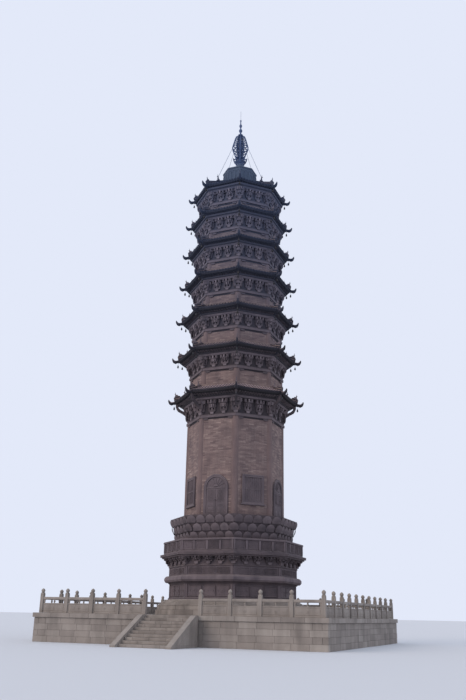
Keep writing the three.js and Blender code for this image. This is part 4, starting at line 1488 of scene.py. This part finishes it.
# %% Limestone
def limestone():
    """Pale dressed limestone with tool marks, pores and grey runs."""
    material, tree, shader, where = start_material("dressed_limestone")
    tone = add(tree, "Attribute", {"attribute_name": "tone"}).outputs["Fac"]
    # Chisel strokes lie 12 mm apart and lean, as a right-handed mason works.
    strokes = add(tree, "TexWave", {"Scale": 26.0, "Distortion": 5.0, "Detail": 2.0,
                                    "bands_direction": "DIAGONAL", "Vector": where}).outputs["Fac"]
    pores = noise(tree, where, 1 / (9 * MM))
    shade = times(tree, tone, 0.5, times(tree, noise(tree, where, 2.2, 4.0), 0.5))
    stone = shades_of(tree, shade, [(0.2, "#7d756f"), (0.5, "#958c85"), (0.8, "#aaa29a")])
    colour = weathered(tree, where, stone, "#4b4542", 0.5, "#a39a90", 0.3)
    surface(tree, shader, colour, 0.85, times(tree, strokes, 0.5, pores), 0.5, 3)
    return material


LIMESTONE = limestone()
STONE_JOINT = 0.006
STONE_BEVEL, SLAB_BEVEL = 0.008, 0.004
# Edges that bend by more than this many radians are bevelled.
SHARP = 0.5
CORE_TONE = 0.1


def soften(bm, edges, width, segments=1):
    """Bevels some edges, so that light catches them."""
    bmesh.ops.bevel(bm, geom=edges, offset=width, segments=segments, profile=0.5, affect="EDGES",
                    material=-1)


def lay_stone(bm, size, centre, place, tone, width=STONE_BEVEL):
    """Lays one stone with bevelled edges."""
    stone = blank()
    block(stone, size, centre)
    sharp = [edge for edge in stone.edges if edge.is_manifold and edge.calc_face_angle() > SHARP]
    soften(stone, sharp, width)
    lay_once(bm, stone, place, tone)


def stone_row(bm, length, centre, depth, height, stone_length, place, shift=0.0):
    """A row of stones along X with open joints, about stone_length long."""
    count = max(1, round(length / stone_length))
    pitch = length / count
    left = -length / 2 - shift * pitch
    while left < length / 2 - 0.02:
        start, stop = max(left, -length / 2), min(left + pitch, length / 2)
        left += pitch
        middle = ((start + stop) / 2 + centre[0], centre[1] + chance.uniform(-0.003, 0.003), centre[2])
        size = (stop - start - STONE_JOINT, depth, height - STONE_JOINT)
        lay_stone(bm, size, middle, place, chance.gauss(0.5, 0.16))


# %% Plinth
# The rows of stones: how far in from the plinth's edge, foot, height. Then its mouldings, the same.
PLINTH_ROWS = [(0.0, 0.0, 0.3), (0.11, 0.3, 0.22)]
PLINTH_DEPTH, PLINTH_STONE = 0.3, 1.15
PLINTH_MOULDINGS = [(0.1, 0.52, 0.06), (0.2, 0.58, 0.07), (0.33, 0.65, 0.08), (0.44, 0.73, 0.07),
                    (0.55, 0.8, 0.095)]


def build_plinth():
    """The moulded foot of the pedestal: a core with rows of long stones round it."""
    low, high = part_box("plinth")
    radius = high.x / FACE
    bm = blank()
    lower = [(-0.03, 0), (-0.03, 0.28), (-0.14, 0.3), (-0.14, 0.51), (-0.5, 0.66)]
    lay_core(bm, radius, low.z, high.z, lower, [(-0.66, 0)], 0.2)
    for side in range(SIDES):
        for inset, foot, height in PLINTH_ROWS:
            outer = radius - inset
            centre = (0, -(outer * FACE - PLINTH_DEPTH / 2), low.z + foot + height / 2)
            stone_row(bm, side_length(outer) - 0.02, centre, PLINTH_DEPTH, height, PLINTH_STONE,
                      at_face(side), (foot > 0) * 0.5)
    for inset, foot, height in PLINTH_MOULDINGS:
        outline = [(-0.3, 0), (-0.02, 0), (0, 0.015), (0, height - 0.02), (-0.02, height), (-0.3, height)]
        outline = [(radius - inset + r, low.z + foot + z) for r, z in outline]
        lay_turned(bm, outline, chance.uniform(0.4, 0.6), ring=True)
    piece("plinth_stones", bm, LIMESTONE, ["plinth"])


build_plinth()

# %% [markdown]
# ## Terrace and steps
#
# The terrace is a square box of stone. Its walls are four courses of blocks in running bond, and a
# coping of long slabs stands 80 mm proud. Square slabs pave the top. The steps are three long stones
# side by side on each riser, between two sloping cheek stones with a sunk triangle.

# %% Terrace
TERRACE_COURSES = 4
WALL_DEPTH, COPING_DEPTH = 0.3, 0.6
WALL_STONE, COPING_STONE = 0.95, 1.25
SLAB_SIZE, SLAB_THICK = 0.86, 0.1
# No slab lies under the tower, this near to the middle.
TOWER_REACH = 3.85


def build_terrace():
    """Courses of stone on four sides, coping and paving."""
    low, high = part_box("terrace")
    half, height = high.x, high.z
    rise = height / TERRACE_COURSES
    bm = blank()
    size = (2 * half - 0.06, 2 * half - 0.06, height - 0.01)
    lay_box(bm, size, (0, 0, height / 2 + 0.005), tone=CORE_TONE)
    for side in range(4):
        for course in range(TERRACE_COURSES):
            centre = (0, WALL_DEPTH / 2 - half, (course + 0.5) * rise)
            # At a corner the two walls take turns, so that no stones share their place.
            length = 2 * half - (0.01 if (side + course) % 2 == 0 else 0.62)
            stone_row(bm, length, centre, WALL_DEPTH, rise, WALL_STONE, at_face(2 * side),
                      (course % 2) * 0.5)
    piece("terrace_walls", bm, LIMESTONE, ["terrace"])
    low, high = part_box("terrace_coping")
    edge, thick = high.x, high.z - low.z
    core = thick - 0.06
    bm = blank()
    lay_box(bm, (2 * edge - 0.2, 2 * edge - 0.2, core), (0, 0, low.z + core / 2), tone=CORE_TONE)
    for side in range(4):
        length = 2 * edge - (0.004 if side % 2 == 0 else 1.21)
        centre = (0, COPING_DEPTH / 2 - edge, low.z + thick / 2)
        stone_row(bm, length, centre, COPING_DEPTH, thick, COPING_STONE, at_face(2 * side))
    paved = 2 * (edge - COPING_DEPTH)
    count = round(paved / SLAB_SIZE)
    pitch = paved / count
    for y in in_row(count, pitch):
        for x in in_row(count, pitch):
            if math.hypot(x, y) > TOWER_REACH:
                centre = (x, y, high.z - SLAB_THICK / 2 - chance.uniform(0, 0.003))
                size = (pitch - STONE_JOINT, pitch - STONE_JOINT, SLAB_THICK)
                lay_stone(bm, size, centre, FRONT, chance.gauss(0.45, 0.14), SLAB_BEVEL)
    piece("terrace_coping_and_paving", bm, LIMESTONE, ["terrace_coping"])


build_terrace()

# %% Steps
STEPS = 10
TREAD = 0.30


def build_steps():
    """Nine steps below the terrace top, and the cheek stones beside them."""
    low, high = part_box("front_steps")
    width, riser = high.x - low.x, high.z / (STEPS - 1)
    bm = blank()
    for step in range(1, STEPS):
        front, top = low.y + (step - 1) * TREAD, step * riser
        run, rise = high.y - front - 0.06, top - 0.03
        lay_box(bm, (width - 0.02, run, rise), (0, high.y - run / 2, rise / 2), tone=CORE_TONE)
        depth = min(TREAD + 0.05, high.y - front)
        centre = (0, front + depth / 2 + 0.004, top - riser / 2)
        stone_row(bm, width - 0.004, centre, depth, riser, width / 3, FRONT, (step % 2) * 0.5)
    piece("step_stones", bm, LIMESTONE, ["front_steps"])
    for name, turn in (("left", -1), ("right", 1)):
        low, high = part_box(f"steps_cheek_{name}")
        thick = high.x - low.x
        outline = [(low.y, 0), (high.y, 0), (high.y, high.z), (high.y - TREAD, high.z), (low.y, riser * 0.6)]
        field = [(low.y + 0.75, 0.14), (high.y - 0.14, 0.14), (high.y - 0.14, high.z - 0.3)]
        if turn < 0:
            outline, field = ([(-y, z) for y, z in reversed(points)] for points in (outline, field))
        stone, bm = blank(), blank()
        raised(stone, outline, thick - 0.022, [(0.012, 0.01)])
        raised(stone, field, 0.012, [(0.04, FLAT), (0.01, -0.011)], thick - 0.012)
        edge = low.x if turn > 0 else high.x
        lay_once(bm, stone, move((edge, 0, 0)) @ rotate("Z", turn * math.pi / 2), 0.6)
        piece(f"cheek_stone_{name}", bm, LIMESTONE, [f"steps_cheek_{name}"])


build_steps()

# %% [markdown]
# ## Balustrade
#
# A stone balustrade stands on the coping. Each post is one square stone with sunk sides and a turned
# bud on top. Between two posts stands one panel, carved on both faces, and the rounded handrail
# above it rests on a small vase.

# %% Balustrade
POST_SIZE, POST_HEIGHT, POST_HEAD = 0.20, 1.08, 0.24
POST_PITCH = 1.68
# The cap and the bud of a post, as (share of the post's half width, height above the neck or the post)
CAP_OUTLINE = [(1.2, 0), (1.38, 0.02), (1.38, 0.045), (1.1, 0.06), (1.1, 0.08), (1.38, 0.1), (0, 0.1)]
BUD_OUTLINE = [(0.85, 0), (0.7, 0.03), (0.98, 0.06), (1.12, 0.11), (1.0, 0.16), (0.62, 0.205), (0.2, 0.235),
               (0, POST_HEAD)]
PANEL_TOP, RAIL_LOW, RAIL_HIGH, RAIL_WIDTH = 0.52, 0.70, 0.85, 0.13
# Outline of the vase, as (radius, height above the panel)
VASE_OUTLINE = [(0, 0), (0.05, 0), (0.03, 0.03), (0.055, 0.08), (0.05, 0.12), (0.03, 0.14), (0.06, 0.19),
                (0, 0.19)]
# The halves of a post or a panel reach a little past their middle, so that no two faces coincide.
OVERLAP = 0.002


def post_shape():
    """A balustrade post with its foot at z = 0."""
    bm = blank()
    half, neck = POST_SIZE / 2, POST_HEIGHT - 0.1
    for side in range(4):
        panel = blank()
        raised(panel, rectangle(POST_SIZE - 0.012, 0.0, neck), half - 0.006 + OVERLAP,
               [(0.006, 0.006), (0.03, FLAT), (0.01, -0.01)], -OVERLAP)
        lay_once(bm, panel, at_face(2 * side))
    for foot, outline, steps in ((neck, CAP_OUTLINE, 4), (POST_HEIGHT, BUD_OUTLINE, 12)):
        turned(bm, [(0, foot)] + [(half * share, foot + z) for share, z in outline], steps)
    return template("post", bm)


def bay_shape(length):
    """A panel, its vase and the handrail between two posts, about x = 0."""
    bm, rail = blank(), blank()
    middle = PANEL_TOP / 2
    for side in (0, 4):
        panel = blank()
        raised(panel, rectangle(length, 0, PANEL_TOP), 0.039 + OVERLAP,
               [(0.006, 0.006), (0.05, FLAT), (0.012, -0.014), (0.03, FLAT), (0.01, 0.012)], -OVERLAP)
        rosette(panel, 0.1, 0.045, middle)
        for x in (-0.42, 0.42):
            raised(panel, rectangle(0.3, middle - 0.05, middle + 0.05, x), 0.05 + OVERLAP,
                   [(0.03, 0.006)], -OVERLAP)
        lay_once(bm, panel, at_face(side))
    turned(bm, [(r, PANEL_TOP + z) for r, z in VASE_OUTLINE], 10)
    block(rail, (length, RAIL_WIDTH, RAIL_HIGH - RAIL_LOW), (0, 0, (RAIL_LOW + RAIL_HIGH) / 2))
    soften(rail, [edge for edge in rail.edges if edge.calc_length() > length / 2], 0.035, 2)
    lay_once(bm, rail)
    size = (0.12, 0.07, RAIL_LOW - PANEL_TOP + 0.02)
    for x in (0.06 - length / 2, length / 2 - 0.06):
        block(bm, size, (x, 0, (PANEL_TOP + RAIL_LOW) / 2), foot_scale=0.6)
    return template("bay", bm)


def build_balustrade():
    """Five runs of posts and panels on the coping."""
    post = post_shape()
    runs = (("front_left", 0), ("front_right", 0), ("right", 1), ("back", 2), ("left", 3))
    for name, quarter in runs:
        low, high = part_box(f"balustrade_{name}")
        turn = at_face(2 * quarter)
        local = [turn.inverted() @ Vector((corner.x, corner.y, 0)) for corner in (low, high)]
        start, stop = sorted(point.x for point in local)
        start, stop = start + POST_SIZE / 2, stop - POST_SIZE / 2
        out = -(local[0].y + local[1].y) / 2
        bays = round((stop - start) / POST_PITCH)
        pitch = (stop - start) / bays
        # The side runs have no end posts. Their last bays reach the corner posts of the front and back.
        extra = POST_SIZE + 0.002 if quarter % 2 else 0.0
        bay, end_bay = (bay_shape(pitch + more - POST_SIZE + 0.02) for more in (0.0, extra))
        bm = blank()
        for index in range(bays + 1):
            if not extra or 0 < index < bays:
                place = at_face(2 * quarter, out, low.z, start + index * pitch)
                lay(bm, post, place, chance.gauss(0.55, 0.12))
        for index in range(bays):
            shift = {0: -extra / 2, bays - 1: extra / 2}.get(index, 0.0)
            place = at_face(2 * quarter, out, low.z, start + (index + 0.5) * pitch + shift)
            lay(bm, end_bay if shift else bay, place, chance.gauss(0.5, 0.12))
        for shape in (bay, end_bay):
            bpy.data.meshes.remove(shape)
        piece(f"balustrade_{name}_stones", bm, LIMESTONE, [f"balustrade_{name}"])


build_balustrade()

# %% [markdown]
# ## The finial
#
# On the top roof stands an eight-sided drum with a low cap of brick. A neck carries a ring of iron
# leaves, then an openwork crown of eight scrolled plates that bulges like a bud, and then a spire
# with two balls and a thin rod. Four iron stays tie the crown to figures on the hips. The leaves and
# the crown are wrought bars, so they are swept along their outlines and let the sky through.

# %% Finial
# Side view of one iron leaf and one plate of the crown, as (distance from the axis, height above the neck)
LEAF_OUTLINE = [(0.14, 0.10), (0.27, 0.12), (0.40, 0.24), (0.47, 0.42), (0.52, 0.66), (0.42, 0.55),
                (0.32, 0.63), (0.18, 0.60)]
CROWN_OUTLINE = [(0.14, 0.68), (0.34, 0.72), (0.42, 1.00), (0.52, 1.25), (0.58, 1.45), (0.60, 1.66),
                 (0.53, 1.92), (0.46, 2.20), (0.38, 2.48), (0.30, 2.66), (0.10, 2.76)]
# Scroll rings: middle radius, distance from the axis, height above the neck
LEAF_RINGS = [(0.08, 0.30, 0.37)]
CROWN_RINGS = [(0.12, 0.39, 1.78), (0.12, 0.39, 1.43), (0.09, 0.30, 1.13), (0.07, 0.25, 0.88),
               (0.075, 0.2, 1.6), (0.075, 0.19, 1.26), (0.08, 0.22, 1.98), (0.06, 0.36, 2.08),
               (0.08, 0.29, 2.3), (0.06, 0.24, 2.52)]
# Outlines about the axis: the mast above the neck, and the spire above its foot
MAST_OUTLINE = [(0, 0), (0.28, 0), (0.25, 0.1), (0.2, 0.16), (0.26, 0.3), (0.26, 0.4), (0.18, 0.5),
                (0.15, 0.66), (0.16, 1.0), (0.17, 1.4), (0.15, 1.9), (0.11, 2.4), (0.10, 2.66), (0.2, 2.73),
                (0.2, 2.79), (0.11, 2.85), (0, 2.85)]
SPIRE_OUTLINE = [(0, 0), (0.10, 0), (0.085, 0.06), (0.06, 0.12), (0.07, 0.2), (0.115, 0.26), (0.14, 0.35),
                 (0.115, 0.44), (0.07, 0.5), (0.05, 0.56), (0.05, 0.64), (0.085, 0.7), (0.12, 0.8),
                 (0.085, 0.9), (0.05, 0.96), (0.04, 1.02), (0.04, 1.2), (0.06, 1.25), (0.06, 1.32),
                 (0.009, 1.38)]
ROD_RADIUS = 0.009
STAYS, STAY_HEAD_RADIUS, STAY_RADIUS = 4, 0.174, 0.012
SMALL_PLATE = 0.62
RIM_BELOW_NECK = 0.80
BAR_HALF = 0.018
BAR_SECTION = box_section(BAR_HALF, -0.045, 0.045)


def iron_ring(bm, radius, distance, z):
    """A flat scroll ring that stands upright in the plane x = 0."""
    inner, outer = radius * 0.66, radius * 1.34
    ring = turned(blank(), rectangle(outer - inner, -BAR_HALF, BAR_HALF, radius), 14, ring=True)
    lay_once(bm, ring, move((0, -distance, z)) @ rotate("Y", math.pi / 2))


def iron_fan(bm, neck, outline, rings, corners, size=1.0):
    """Openwork plates towards some corners, each a bent bar filled with scroll rings."""
    plate = blank()
    sweep(plate, BAR_SECTION, [(r * size, neck + z) for r, z in outline])
    for radius, distance, z in rings:
        iron_ring(plate, radius * size, distance * size, neck + z)
    lay_all(bm, plate, [at_corner(corner) for corner in corners])


def build_crown():
    """The leaves and the crown round their mast."""
    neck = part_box("finial_petals")[0].z
    bm = blank()
    iron_fan(bm, neck, LEAF_OUTLINE, LEAF_RINGS, range(SIDES))
    iron_fan(bm, neck, CROWN_OUTLINE, CROWN_RINGS, range(0, SIDES, 2))
    iron_fan(bm, neck, CROWN_OUTLINE, CROWN_RINGS, range(1, SIDES, 2), SMALL_PLATE)
    lay_turned(bm, [(r, neck + z) for r, z in MAST_OUTLINE], steps=16)
    piece("crown_ironwork", bm, OLD_IRON, ["finial_petals", "finial_crown"], smooth_under=45)


def build_bowl():
    """The drum and its low cap, with a moulded foot and rim and a niche on every face."""
    low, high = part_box("finial_bowl")
    radius, rim = high.x / FACE, high.z - RIM_BELOW_NECK
    bm, niches = blank(), blank()
    cap = [(share * radius, rim + z) for share, z in ((0.98, 0.02), (0.6, 0.24), (0.3, 0.42), (0.24, 0.48))]
    lay_turned(bm, [(0, low.z), (radius, low.z), (radius, low.z + 0.1), (radius - 0.04, low.z + 0.12),
                    (radius - 0.04, rim - 0.13), (radius - 0.01, rim - 0.11), (radius, rim - 0.09),
                    (radius, rim - 0.01), *cap, (radius * 0.22, high.z), (0, high.z)])
    width = side_length(radius) / 3
    for index in (-1, 0, 1):
        field = [(x + index * width, z) for x, z in arch(width * 0.74, 0.16, rim - low.z - 0.4, 8)]
        raised(niches, field, 0.03, [(0.03, FLAT), (0.01, -0.025)])
    lay_all(bm, niches, at_all(at_face, (radius - 0.04) * FACE, low.z), 0.6)
    piece("bowl_brickwork", bm, COOL_BRICK, ["finial_bowl"])


def build_spire():
    """The spire with its two balls and the rod."""
    low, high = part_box("finial_spire")
    bm = blank()
    outline = [(r, low.z + z) for r, z in SPIRE_OUTLINE]
    lay_turned(bm, outline + [(ROD_RADIUS, high.z), (0, high.z)], steps=16)
    piece("spire_iron", bm, OLD_IRON, ["finial_spire"], smooth_under=45)


def build_stays():
    """Four iron rods from the collar of the crown to the figures on the hips."""
    for stay in range(1, STAYS + 1):
        low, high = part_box(f"finial_stay_{stay}")
        middle = (low + high) / 2
        corner = round(math.atan2(middle.x, -middle.y) / (2 * HALF_ANGLE) - 0.5)
        bm, rod = blank(), blank()
        sweep(rod, circle(STAY_RADIUS, 6), [(STAY_FOOT_RADIUS, low.z), (STAY_HEAD_RADIUS, high.z)])
        lay_once(bm, rod, at_corner(corner))
        piece(f"stay_rod_{stay}", bm, OLD_IRON, [f"finial_stay_{stay}"], smooth_under=45)


build_bowl()
build_crown()
build_spire()
build_stays()
